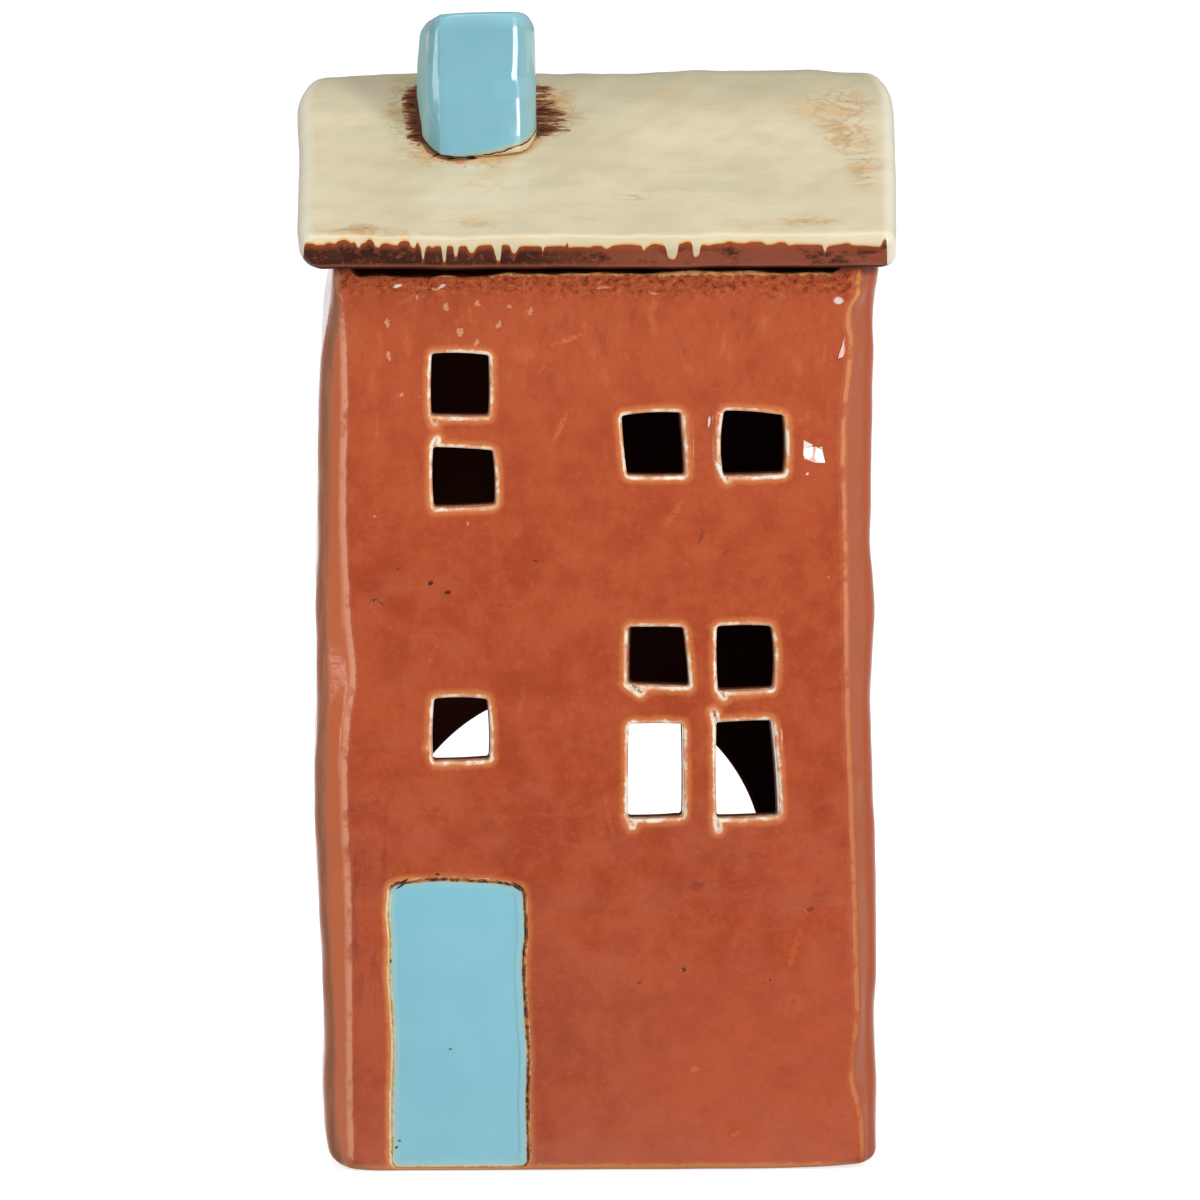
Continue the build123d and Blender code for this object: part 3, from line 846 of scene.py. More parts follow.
def turned(name, profile, count, flutes=0, depth=0.0, low=0.0, high=0.0):
    """Turned piece from a profile of (radius, height), with pressed flutes between two heights."""
    angle = round_angles(count)
    rings = []
    for radius, height in profile:
        zone = ease(height, low, low + 1.5) * (1 - ease(height, high - 1.5, high)) if flutes else 0
        rings.append(ring(angle, radius + depth * zone * np.cos(flutes * angle), height))
    return ring_mesh(name, rings)


def build_tealight():
    """Cup, wax and wick, standing on the floor slab."""
    base = FLOOR_TOP
    outer = [(0.6, 0), (8, 0.02), (16.8, 0.05), (17.9, 0.25), (18.35, 0.9), (18.5, 2.0)]
    outer += [(18.5 + 0.035 * k, 2.0 + k) for k in range(1, 13)]
    lip = [(19.1, 14.6), (19.45, 14.75), (19.65, 15.05), (19.6, 15.4), (19.35, 15.57), (19.0, 15.5)]
    inner = [(18.68, 15.1), (18.6, 14.4)] + [(18.14 + 0.035 * k, 2.0 + k) for k in range(11, 0, -1)]
    inner += [(18.1, 2.0), (17.9, 0.9), (17.2, 0.5), (8, 0.42), (0.6, 0.42)]
    cup = turned("tealight_cup_foil", [(r, base + h) for r, h in outer + lip + inner],
                 192, 48, 0.06, base + 1.5, base + 13.6)
    settle(cup, "tealight", "cup_foil", "tealight_cup")

    side = [(0.9, 5.46), (12, 5.46), (17.0, 5.6), (17.8, 6.2), (18.0, 7.4), (18.1, 10), (18.25, 14)]
    crown = [(18.35, 0.05), (18.2, -0.1), (17.6, -0.3), (16, -0.48), (12, -0.55), (7, -0.55),
             (3.4, -0.5), (1.9, -0.35), (1.2, -0.1), (0.95, 0.1)]
    wax = turned("tealight_wax_pool", side + [(r, WAX_TOP + h) for r, h in crown], 96)
    settle(wax, "tealight", "candle_wax", "tealight_wax")

    rings = []
    angle = round_angles(20)
    for rise in np.linspace(0, 1, 41):
        r = 0.66 * (1 + 0.13 * np.cos(3 * angle + 9 * rise)) * (1 - 0.25 * ease(rise, 0.93, 1.0))
        height = WICK_FOOT + (WICK_TOP - WICK_FOOT) * rise
        rings.append(ring(angle, r, height, 0.5 * ease(rise, 0.55, 1.0)))
    wick = ring_mesh("tealight_wick_cotton", rings)
    settle(wick, "tealight", "wick_cotton", "tealight_wick")


# Glazes

SHINE = 0.5
BLOT_DEPTH = 4
BLOT_SOFT = 0.55


def screen(*shade):
    """Linear colour of an 8-bit screen colour."""
    linear = [c / 255 / 12.92 if c < 11 else ((c / 255 + 0.055) / 1.055) ** 2.4 for c in shade]
    return (*linear, 1.0)


class Nodes:
    """Node tree of a material or a world."""

    def __init__(self, owner):
        owner.use_nodes = True
        self.tree = owner.node_tree
        self.tree.nodes.clear()

    def put(self, socket, value):
        if isinstance(value, bpy.types.NodeSocket):
            self.tree.links.new(value, socket)
        else:
            socket.default_value = value

    def node(self, kind, inputs=None, **settings):
        """New node; its inputs take values or sockets."""
        made = self.tree.nodes.new(kind)
        for key, value in settings.items():
            setattr(made, key, value)
        for key, value in (inputs or {}).items():
            self.put(made.inputs[key], value)
        return made

    def math(self, operation, total, *values):
        """One operation over all values, from left to right."""
        for value in values:
            total = self.node(
                "ShaderNodeMath", {0: total, 1: value}, operation=operation).outputs[0]
        return total

    def mul(self, *values):
        return self.math("MULTIPLY", *values)

    def most(self, *values):
        return self.math("MAXIMUM", *values)

    def span(self, value, low, high, start=0.0, end=1.0):
        """Smooth step of a value between two limits."""
        ends = {"From Min": low, "From Max": high, "To Min": start, "To Max": end}
        return self.node(
            "ShaderNodeMapRange", {"Value": value, **ends},
            interpolation_type="SMOOTHSTEP").outputs[0]

    def to_viewer(self):
        """The light path's outputs, and 1 for rays that the camera sees, also through glass."""
        path = self.node("ShaderNodeLightPath").outputs
        return path, self.most(path["Is Camera Ray"], path["Is Transmission Ray"])


class Paint(Nodes):
    """Material painted in layers, over lengths in millimetres."""

    def __init__(self, name):
        self.material = bpy.data.materials.new(name)
        super().__init__(self.material)
        self.shader = self.node("ShaderNodeBsdfPrincipled")
        self.node("ShaderNodeOutputMaterial", {"Surface": self.shader.outputs[0]})
        self.place = self.node("ShaderNodeTexCoord").outputs["Object"]
        split = self.node("ShaderNodeSeparateXYZ", {0: self.place}).outputs
        self.x, self.y, self.z = (self.math("DIVIDE", way, MM) for way in split)

    def mix(self, factor, a, b):
        """Mix of two sockets or screen colours."""
        a, b = (screen(*c) if isinstance(c, tuple) else c for c in (a, b))
        return self.node("ShaderNodeMix", {0: factor, 6: a, 7: b}, data_type="RGBA").outputs[2]

    def ground(self, factor, a, b):
        self.colour = self.mix(factor, a, b)

    def over(self, mask, shade):
        """Lays a colour over the layers below it."""
        self.colour = self.mix(mask, self.colour, shade)

    def add(self, *terms):
        """Sum of sockets, numbers and (socket, weight) pairs."""
        return self.math("ADD", *(self.mul(*t) if isinstance(t, tuple) else t for t in terms))

    def noise(self, size, detail=3.0, rough=0.5, stretch=(1, 1, 1), shift=0.0, turn=0.0, out="Fac"):
        """Noise whose features are about size millimetres across."""
        mapping = self.node("ShaderNodeMapping", {
            "Vector": self.place, "Scale": [s / (size * MM) for s in stretch],
            "Location": (shift, shift * 0.7, shift * 1.3), "Rotation": (0, turn, 0)})
        return self.node("ShaderNodeTexNoise", {
            "Vector": mapping.outputs[0], "Scale": 1.0, "Detail": detail,
            "Roughness": rough}).outputs[out]

    def warped(self, size, reach):
        """Object place shifted unevenly by up to about half of reach millimetres."""
        colours = self.noise(size, 3, 0.6, shift=83, out="Color")
        off = self.node(
            "ShaderNodeVectorMath", {0: colours, 1: (0.5, 0.5, 0.5)}, operation="SUBTRACT")
        return self.node(
            "ShaderNodeVectorMath", {0: off.outputs[0], 1: (reach * MM,) * 3, 2: self.place},
            operation="MULTIPLY_ADD").outputs[0]

    def note(self, name):
        return self.node("ShaderNodeAttribute", attribute_name=name).outputs["Fac"]

    def blots(self, places, y=FRONT, plane=None):
        """Largest of several soft ellipses, in the plane of the front or in a given one."""
        found = []
        for x, z, length, width, turn, strength in places:
            mapping = self.node("ShaderNodeMapping", {
                "Vector": plane or self.place, "Location": (x * MM, y * MM, z * MM),
                "Rotation": (0, -radians(turn), 0),
                "Scale": (length * MM, BLOT_DEPTH * MM, width * MM)}, vector_type="TEXTURE")
            ball = self.node(
                "ShaderNodeTexGradient", {"Vector": mapping.outputs[0]}, gradient_type="SPHERICAL")
            found.append(self.mul(self.span(ball.outputs["Fac"], 0.0, BLOT_SOFT), strength))
        return self.most(*found)

    def patch(self, corners):
        """1 inside a given outline on the front, 0 outside."""
        sides = []
        for (ax, az), (bx, bz) in zip(corners, corners[1:] + corners[:1]):
            length = float(np.hypot(bx - ax, bz - az))
            ux, uz = (bx - ax) / length, (bz - az) / length
            inside = self.add((self.x, uz), (self.z, -ux), az * ux - ax * uz)
            sides.append(self.span(inside, 0.0, 0.1))
        return self.mul(self.math("MINIMUM", *sides), self.span(self.y, -30, -31))

    def facet(self, corners, slope):
        """Relief of a flat patch of the front that sinks to its right."""
        return self.mul(self.add((self.x, -slope), slope * corners[0][0]), self.patch(corners))

    def curve(self, x, low, high, points, top):
        """Line drawn through given points over x from low to high, with values from 0 to top."""
        share = self.math("DIVIDE", self.math("SUBTRACT", x, low), high - low)
        made = self.node("ShaderNodeFloatCurve", {"Value": share})
        line = made.mapping.curves[0]
        while len(line.points) < len(points):
            line.points.new(0.5, 0.5)
        for point, (at, value) in zip(line.points, points):
            point.location = ((at - low) / (high - low), value / top)
            point.handle_type = "AUTO_CLAMPED"
        made.mapping.update()
        return self.mul(made.outputs[0], top)

    def bump(self, height, strength=1.0):
        """Relief from a height in millimetres."""
        made = self.node(
            "ShaderNodeBump", {"Strength": strength, "Distance": MM, "Height": height})
        self.put(self.shader.inputs["Normal"], made.outputs[0])

    def finish(self, roughness, ior=1.5, shine=SHINE, **more):
        """Material with these values on its shader; more names inputs with _ for a space."""
        values = {"Base Color": self.colour, "Roughness": roughness, "IOR": ior,
                  "Specular IOR Level": shine}
        values.update({key.replace("_", " "): value for key, value in more.items()})
        for key, value in values.items():
            self.put(self.shader.inputs[key], value)
        return self.material


def door_seam(p):
    """Colour of the seam round the door: cream at its left, brown above and at its right, where the
    brown is partly the glaze's own and partly painted shade in the groove.
    """
    broken = p.noise(1.4, 4, 0.7, shift=79)
    cream = p.mix(p.span(broken, 0.4, 0.6), (226, 190, 128), (240, 226, 182))
    brown = p.mix(p.span(broken, 0.42, 0.58), (112, 62, 38), (214, 148, 84))
    # The brown above and at the right stands partly for painted shade in the seam's groove.
    return p.mix(p.most(p.span(p.x, -14, -12), p.span(p.z, 45.4, 46.6)), cream, brown)


def wall_ground(p, mottle, grain, fore):
    """Uneven orange-brown of the walls, drawn out toward the top and beside the door."""
    streak = p.noise(2.2, 3, 0.6, (0.22, 1, 1), 11, 0.6)
    drift = p.noise(2.4, 4, 0.65, (1, 1, 0.45), 53)
    drawn = p.noise(3.0, 4, 0.7, (1.6, 1, 0.3), 59)
    upper = p.span(p.z, 112, 138)
    p.ground(p.span(p.noise(22, 2, 0.5), 0.35, 0.65), (179, 77, 44), (187, 84, 50))
    p.over(p.span(mottle, 0.44, 0.64, 0, 0.5), (194, 94, 56))
    p.over(p.span(mottle, 0.5, 0.34, 0, 0.35), (160, 66, 40))
    p.over(p.mul(p.span(p.z, 50, 10, 0, 0.5), p.span(p.x, -5, 25)), (206, 92, 50))
    p.over(p.span(streak, 0.6, 0.75, 0, 0.25), (200, 110, 66))
    p.over(p.span(grain, 0.56, 0.74, 0, 0.28), (146, 60, 38))
    p.over(p.span(grain, 0.44, 0.28, 0, 0.4), (198, 102, 64))
    p.over(p.mul(p.span(p.z, 100, 143), 0.4), (193, 97, 60))
    p.over(p.mul(upper, p.span(drift, 0.52, 0.7, 0, 0.5)), (150, 66, 44))
    p.over(p.mul(upper, p.span(drift, 0.45, 0.3, 0, 0.5)), (212, 116, 70))
    by_door = p.mul(p.span(p.x, -31, -34.5), fore, p.span(p.z, 22, 34), p.span(p.z, 66, 52))
    p.over(p.mul(by_door, p.span(drawn, 0.52, 0.66, 0, 0.45)), (118, 50, 34))


def wall_crust(p, mottle, fore):
    """Rough dark crust under the front eave, over painted shade toward the eave; returns its relief
    and how far up it is.
    """
    # Painted shade: the wall darkens toward the overhanging eave.
    shade = p.add(p.span(p.z, 138.5, 143.5), (mottle, 1.6), -1.15)
    p.over(p.span(shade, 0.35, 0.75, 0, 0.3), (140, 64, 38))
    crust = p.noise(0.9, 4, 0.7, (0.8, 1, 1), 29)
    high = p.mul(fore, p.span(p.add(p.z, (mottle, 6.0), -3.0), 139.6, 143.6))
    p.over(p.mul(high, p.span(crust, 0.51, 0.62, 0, 0.85)), (108, 46, 27))
    p.over(p.mul(high, p.span(crust, 0.47, 0.3, 0, 0.7)), (224, 134, 74))
    broken = p.span(p.noise(0.9, 3, 0.6, shift=37), 0.4, 0.56)
    p.over(p.mul(p.blots(SCRATCHES), broken, 0.7), (221, 130, 74))
    return p.mul(crust, high), high


def wall_rims(p, ragged):
    """Cream where the glaze breaks over the edge of an opening, amber round it."""
    opening, doorway = p.note("opening"), p.note("doorway")
    near = p.add(p.math("MINIMUM", opening, p.add(doorway, 0.25)), (ragged, 0.8), -0.4)
    glow = p.most(p.span(p.x, -28, -31, 0.42, 0.85), p.span(opening, 4, 2, 0.42, 0.58))
    p.over(p.mul(p.span(near, 1.7, 0.55), glow), (234, 146, 82))
    thick = p.span(p.noise(2.6, 2, 0.5, shift=19), 0.42, 0.6)
    wear = p.span(p.noise(1.5, 3, 0.6, shift=73), 0.34, 0.5, 0.5, 1.0)
    p.over(p.mul(p.span(near, 0.72, 0.34), wear), p.mix(thick, (232, 168, 128), (255, 236, 212)))
    seam = p.add(doorway, (p.noise(1.2, 2, 0.5, shift=47), 0.3), -0.15)
    p.over(p.span(seam, 0.36, 0.24), door_seam(p))


def wall_corners(p, arris, left, right, edge):
    """Scraped corners with a bright inner line and a painted grey sheen on the left's rounded outer
    edge; returns where the outer edge is rounded.
    """
    strip = p.mix(left, (184, 106, 75), (222, 120, 74))
    p.over(p.mul(p.span(arris, 0.1, -0.35, 0, 0.75), edge), strip)
    # Painted sheen: grey-brown vertical streaks on the left's rounded outer edge stand in for its
    # grazing reflection.
    sheen_streaks = p.noise(1.2, 3, 0.6, (1, 1, 0.16), 61)
    grey_sheen = p.mix(p.span(sheen_streaks, 0.4, 0.6), (158, 108, 82), (178, 122, 92))
    rounded = p.mul(p.span(p.note("corner"), 2.3, 1.3), edge)
    p.over(p.mul(rounded, p.span(arris, 0, -0.6, 0, 0.85)), p.mix(left, (182, 92, 60), grey_sheen))
    # Bright line inside the scraped edge: the glaze thinning over it, with a painted highlight.
    inward = p.mix(left, p.span(arris, -0.55, -0.15), p.span(arris, -0.85, -0.15))
    patchy = p.span(p.noise(4, 4, 0.65, shift=43), 0.36, 0.5, 0.3, 1.0)
    weak = p.most(left, p.span(p.z, 70, 95, 0.8, 1.0))
    line = p.mix(left, (216, 138, 92), (230, 156, 120))
    line = p.mix(p.mul(p.span(p.z, 139, 142), right), line, (232, 160, 78))
    p.over(p.mul(p.span(arris, 0.62, 0.2), inward, patchy, weak, 0.9), line)
    return rounded


def wall_ends(p, mottle, ragged, deep, edge):
    """Amber foot, bright brim of the slit under the eave, and the dark top of the corners."""
    p.over(p.span(p.add(p.z, ragged, -0.5), 1.4, 0.5, 0, 0.85), (212, 136, 70))
    brim = p.mul(
        p.span(p.add(p.z, (ragged, 1.4), -0.7), 144.5, 144.8), p.span(p.z, 146.2, 145.4),
        p.span(p.x, -36.6, -35.4), p.span(p.x, 39, 38),
        p.span(p.noise(1.6, 3, 0.6, shift=67), 0.36, 0.5, 0.35, 1.0), p.span(deep, 2.5, 1.0))
    p.over(brim, (222, 164, 98))
    post = p.span(p.add(p.z, (mottle, 3.0), -1.5), 143.9, 145.6)
    p.over(p.mul(post, edge, p.span(p.note("arris"), 7.5, 3.0)), (112, 56, 40))


def wall_marks(p):
    """Flecks, glints, painted highlights of the presses, pits and cracks; returns the pits."""
    uneven = p.warped(0.9, 1.3)
    fleck, pits = p.blots(FLECKS, plane=uneven), p.blots(PITS, plane=uneven)
    # Flecks: dark edges, then pale cores that are partly painted highlights.
    p.over(p.span(fleck, 0.02, 0.12, 0, 0.35), (140, 58, 36))
    p.over(p.span(fleck, 0.15, 0.4, 0, 0.75), (228, 158, 118))
    # Painted glints: white highlights on burrs.
    p.over(p.blots(GLINTS, plane=p.warped(0.6, 0.5)), (252, 242, 228))
    # Painted highlights on the tool presses.
    for press_highlight in PRESS_HIGHLIGHTS:
        p.over(p.mul(p.patch(press_highlight), 0.92), (252, 238, 228))
    p.over(pits, (96, 40, 26))
    p.over(p.blots(CRACKS), (40, 20, 16))
    return pits


def terracotta_glaze():
    """Orange-brown glossy glaze: cream where it breaks over cut edges, dark inside."""
    p = Paint("terracotta_glaze")
    mottle, grain = p.noise(4.5, 4, 0.6, shift=3), p.noise(0.9, 3, 0.6, shift=7)
    ragged = p.noise(1.3, 3, 0.65, shift=5)
    deep = p.note("deep")
    arris = p.add(p.note("arris"), (p.noise(1.6, 2, 0.5, shift=41), 0.5), -0.25)
    fore, left = p.span(p.y, -36, -37.5), p.span(p.x, 5, -5)
    right = p.span(left, 1, 0)
    edge = p.span(p.math("ABSOLUTE", p.y, 0.0), 33.5, 36.5)
    wall_ground(p, mottle, grain, fore)
    crust, high = wall_crust(p, mottle, fore)
    wall_rims(p, ragged)
    rounded = wall_corners(p, arris, left, right, edge)
    wall_ends(p, mottle, ragged, deep, edge)
    pits = wall_marks(p)
    # Darker with depth into the clay: the brown of the inner glaze, and in the window reveals a
    # painted shade.
    p.over(p.span(deep, 1.2, 2.8), (132, 70, 46))
    p.over(p.span(deep, 2.8, 4.6), (90, 46, 30))
    facets = [p.facet(corners, slope) for corners, slope in FACETS]
    p.bump(p.add((mottle, 0.10), (p.noise(1.6, 2, 0.5, shift=2), 0.05), (grain, 0.012),
                 (pits, -0.08), (crust, 0.1), *facets), 0.9)
    worn = p.mul(p.span(arris, 1.2, 0.4), p.span(arris, -1.0, -0.3, 0, 0.45))
    rough = p.add(p.span(mottle, 0.3, 0.7, 0.1, 0.2), worn, p.span(deep, 1.5, 3.0, 0, 0.5),
                  (rounded, 0.3))
    dull = p.most(p.span(deep, 0.5, 1.2, 0, 0.45), p.mul(worn, right), p.mul(high, 0.3),
                  p.mul(rounded, 0.42))
    return p.finish(rough, shine=p.math("SUBTRACT", SHINE, dull))


def eave_edge(p):
    """Depth below the outer roof plane at which the cream glaze ends, along x.

    The slope and the rounded brow are foreshortened, so a depth is looked up for each height
    at which the photo shows the edge.
    """
    depths = np.linspace(0, SLAB, 57)
    brow = EAVE_ROUND * (1 - np.sin(np.arccos(np.clip(1 - depths / EAVE_ROUND, 0, 1))))
    seen = EAVE_BRINK + 2.9 + (0.819 * depths - 0.5735 * brow) / 0.16
    first = int(np.argmin(seen))
    line = [((px - EAVE_MIDDLE) * EAVE_PIXEL, float(np.interp(py, seen[first:], depths[first:])))
            for px, py in EAVE_LINE]
    ends = (line[0][0], -EAVE_SPLIT, EAVE_SPLIT, line[-1][0])
    parts = []
    for low, high in zip(ends, ends[1:]):
        part = [point for point in line if low <= point[0] <= high]
        for end in (low, high):
            if all(abs(point[0] - end) > 0.01 for point in part):
                part.append((end, float(np.interp(end, *zip(*line)))))
        parts.append(p.curve(p.x, low, high, sorted(part), 8.0))
    edge = parts[0]
    for at, part in zip(ends[1:], parts[1:]):
        step = p.math("SUBTRACT", part, edge)
        edge = p.add(edge, p.mul(p.span(p.x, at - 0.01, at + 0.01), step))
    return p.most(edge, p.span(p.x, 46.1, 46.5, 0, 7), p.span(p.x, -46.6, -47.2, 0, 7))


def cream_ground(p, cloud, streak, down):
    """Uneven cream of the roof: greyer toward the ridge, partly painted shade; paler at the ends, a
    painted light on their rounding; and paler low down.
    """
    p.ground(p.span(cloud, 0.35, 0.65), (219, 206, 172), (229, 217, 184))
    p.over(p.span(streak, 0.52, 0.7, 0, 0.35), (222, 190, 140))
    p.over(p.span(p.noise(7, 3, 0.6, (0.5, 1, 1), 87), 0.48, 0.64, 0, 0.3), (204, 196, 160))
    # Painted light: paler toward the rounded ends of the roof.
    p.over(p.span(p.note("end"), 22, 4, 0, 0.4), (240, 228, 196))
    # Greyer toward the ridge: partly the glaze's grey-green, partly painted shade where the slope
    # rounds over.
    p.over(p.span(down, 16, 1, 0, 0.65), (188, 178, 148))
    p.over(p.span(down, 38, 47, 0, 0.4), (228, 212, 178))


def cream_stains(p, streak):
    """Brown wash, fine veins and specks where the glaze is stained."""
    stain = p.note("stain")
    fleck = p.noise(1.0, 3, 0.6, (0.4, 1, 1), 9)
    net = p.noise(2.6, 2, 0.55, (0.7, 1, 1), 23)
    net = p.math("ABSOLUTE", p.math("SUBTRACT", net, 0.5), 0.0)
    wash = p.mul(stain, p.span(streak, 0.36, 0.62))
    p.over(p.span(wash, 0.05, 0.6, 0, 0.6), (216, 176, 118))
    p.over(p.mul(p.span(net, 0.09, 0.0), p.span(stain, 0.12, 0.6), 0.45), (186, 142, 88))
    p.over(p.mul(p.span(fleck, 0.66, 0.75), p.span(stain, 0.1, 0.5), 0.8), (150, 112, 60))


def cream_burns(p, rough, down):
    """Dark burns beside the chimney and the broken glaze at its foot; returns the burns."""
    teeth = p.noise(1.2, 5, 0.8, (0.3, 1, 1), 51)
    note = p.note("burn")
    burn = p.mul(p.add(note, (teeth, 4.2), -2.1), p.span(note, 0.02, 0.3))
    foot = p.add(p.note("foot"), rough, -0.5)
    p.over(p.mul(p.span(foot, 1.5, 0.5, 0, 0.6), p.span(burn, 0.3, 0.0)), (220, 168, 112))
    p.over(p.span(burn, 0.1, 0.4, 0, 0.9), (188, 124, 66))
    p.over(p.span(burn, 0.4, 0.65), (130, 70, 42))
    p.over(p.span(burn, 0.8, 1.15), (66, 32, 22))
    bare = p.mul(p.span(p.x, -20.5, -18), p.span(down, 19.5, 21.5))
    p.over(p.mul(p.span(foot, 0.45, 0.15, 0, 0.8), p.span(bare, 1, 0)), (112, 66, 40))
    flat = p.node("ShaderNodeCombineXYZ", {0: p.mul(p.x, MM), 2: p.mul(down, MM)}).outputs[0]
    ahead = p.span(p.y, 0.5, 0)
    p.over(p.mul(p.blots(FOOT_CHIPS, 0, flat), ahead), (214, 132, 92))
    p.over(p.mul(p.blots(FOOT_CRACKS, 0, flat), ahead), (34, 20, 16))
    return burn


def cream_band(p, under, band):
    """Dark mottled band of the eave below the cream, with an amber line between them."""
    burnt = p.mix(p.span(p.x, 10, -12), (150, 80, 58), (84, 44, 30))
    coarse = p.noise(4, 4, 0.65, (0.5, 1, 1), 8)
    burnt = p.mix(p.span(coarse, 0.46, 0.58, 0, 0.85), burnt, (64, 30, 24))
    fine = p.noise(0.8, 3, 0.65, shift=71)
    burnt = p.mix(p.span(fine, 0.55, 0.66, 0, 0.5), burnt, (168, 92, 56))
    burnt = p.mix(p.span(band, 1.3, 0.2, 0, 0.75), burnt, (158, 76, 44))
    burnt = p.mix(p.span(under, 4.5, 5.0, 0, 0.55), burnt, (158, 92, 66))
    p.over(p.span(band, -0.45, -0.08), (240, 186, 112))
    p.over(p.span(band, -0.06, 0.08), burnt)
    p.over(p.span(under, 5.2, 5.35), (62, 24, 16))


def cream_glaze():
    """Cream glaze with brown stains, burnt dark along the front eave."""
    p = Paint("cream_glaze")
    cloud = p.noise(14, 3, 0.5)
    streak = p.noise(3.2, 4, 0.65, (0.3, 1, 1), 4)
    rough = p.noise(1.8, 4, 0.7, (0.6, 1, 1), 14)
    down, under = p.note("down"), p.note("under")
    cream_ground(p, cloud, streak, down)
    cream_stains(p, streak)
    burn = cream_burns(p, rough, down)
    # Painted light: near-white along the rounded ends of the roof.
    p.over(p.span(p.note("end"), 2.8, 0.8, 0, 0.7), (248, 243, 222))
    below = p.add(under, (eave_edge(p), -1.0), 3.0)
    band = p.add((below, p.span(down, 46.0, 47.2)), -3.0)
    cream_band(p, under, band)
    p.bump(p.add((streak, 0.14), (p.span(band, 0.1, -0.2), 0.15),
                 (p.noise(6, 2, 0.5, shift=3), 0.2),
                 (p.mul(rough, p.span(burn, 0.2, 0.8)), 0.4)), 0.8)
    dark = p.most(p.span(band, -0.06, 0.08), p.span(burn, 0.3, 0.6))
    dull = p.mul(dark, 0.35)
    return p.finish(
        p.add(p.span(cloud, 0.3, 0.7, 0.14, 0.24), (dark, 0.2)),
        shine=p.math("SUBTRACT", SHINE, dull))


def blue_glaze(*shades):
    """Pale turquoise ground, and the wander of its rims; thinner on rounded edges."""
    p = Paint("blue_glaze")
    p.ground(p.span(p.noise(9, 3, 0.5), 0.35, 0.65), *shades)
    return p, p.mul(p.math("SUBTRACT", p.noise(1.9, 4, 0.65, shift=3), 0.5), 0.9)


def door_glaze():
    """Blue glaze of the door: greener at its rim, with a pressed line at the right."""
    p, wander = blue_glaze((141, 206, 222), (145, 209, 225))
    inner = p.add(p.note("rim"), (wander, 0.25))
    line = p.mul(
        p.span(inner, 1.25, 1.5), p.span(inner, 1.8, 1.55), p.span(p.x, -15, -12, 0.06, 0.4),
        p.span(p.z, 1.6, 3.5), p.span(p.z, 45.6, 44))
    p.over(p.span(inner, 1.6, 0.7, 0, 0.5), (178, 212, 208))
    p.over(line, (116, 166, 176))
    p.over(p.span(inner, 0.45, 0.3), door_seam(p))
    p.over(p.blots(DOOR_PITS), (60, 40, 34))
    p.bump(p.mul(p.noise(3, 2, 0.5, shift=5), 0.06), 0.8)
    return p.finish(0.14, 1.55)


def chimney_glaze():
    """Blue glaze of the chimney: a painted pale reflection on its left flank, greener at its right,
    painted light at its top, cream and a dark crack at its foot.
    """
    p, wander = blue_glaze((129, 184, 199), (133, 187, 201))
    # Painted reflection: pale green down the left flank.
    p.over(p.span(p.x, -25.6, -27.2, 0, 0.8), (180, 224, 220))
    p.over(p.span(p.x, -12.2, -10.6, 0, 0.6), (158, 192, 194))
    climb = p.mul(p.span(p.x, -20.5, -9.5, 0, 1.5), p.span(p.y, -15, -18))
    gap = p.add(p.math("SUBTRACT", p.note("gap"), climb), wander)
    top = p.note("top")
    # Painted light: paler within 3 mm of the top; then a darker line along the top edge.
    p.over(p.span(top, 3.0, 0.8, 0, 0.6), (150, 203, 214))
    p.over(p.span(top, 0.35, 0.05, 0, 0.7), (126, 172, 180))
    p.over(p.span(gap, 1.2, 0.7, 0, 0.5), (170, 190, 160))
    p.over(p.span(gap, 0.55, 0.38), (200, 168, 110))
    p.over(p.span(gap, 0.36, 0.26), (70, 46, 34))
    p.over(p.span(gap, 0.15, 0.0), (208, 190, 152))
    p.bump(p.mul(p.noise(4, 2, 0.5, shift=5), 0.04), 0.8)
    breaks = p.most(
        p.mul(p.span(p.z, 171.2, 171.8), p.span(p.z, 174.8, 174.2)),
        p.span(p.z, 166.0, 165.2), p.span(p.z, 182.6, 183.4))
    dull = p.most(p.mul(breaks, p.span(p.x, -16.5, -15.0, 0, 0.42)),
                  p.span(p.x, -26.3, -27.1, 0, 0.45), p.span(gap, 0.5, 0.3, 0, 0.45))
    return p.finish(p.span(p.x, -26.0, -26.9, 0.09, 0.5), 1.6, p.math("SUBTRACT", SHINE, dull))


def bisque():
    """Matt unglazed clay with fine grog."""
    p = Paint("bisque")
    mottle, grog = p.noise(6, 4, 0.6), p.noise(0.5, 2, 0.6, shift=2)
    p.ground(p.span(mottle, 0.35, 0.65), (150, 98, 70), (172, 118, 88))
    p.over(p.span(grog, 0.64, 0.76, 0, 0.5), (98, 62, 46))
    p.over(p.span(p.z, 3.0, 4.8), (60, 34, 24))
    p.bump(p.add((grog, 0.06), (mottle, 0.1)))
    return p.finish(p.span(mottle, 0.3, 0.7, 0.65, 0.85))


def plain(name, noise, shades, relief, roughness, ior=1.5, reach=0.3, **more):
    """Material of one noise, which sets its colour, relief and roughness."""
    p = Paint(name)
    grain = p.noise(*noise)
    p.ground(p.span(grain, reach, 1 - reach), *shades)
    p.bump(p.mul(grain, relief))
    return p.finish(p.span(grain, 0.3, 0.7, *roughness), ior, **more)


def cup_foil():
    return plain("cup_foil", (0.8, 3, 0.6, (1, 1, 8)), ((196, 197, 199), (214, 215, 217)), 0.006,
                 (0.22, 0.34), Metallic=1.0)


def candle_wax():
    return plain("candle_wax", (5, 3, 0.5), ((238, 236, 228), (246, 244, 238)), 0.12, (0.35, 0.5),
                 1.44, 0.35, Subsurface_Weight=0.25, Subsurface_Radius=(0.004, 0.0035, 0.003),
                 Subsurface_Scale=1.0)


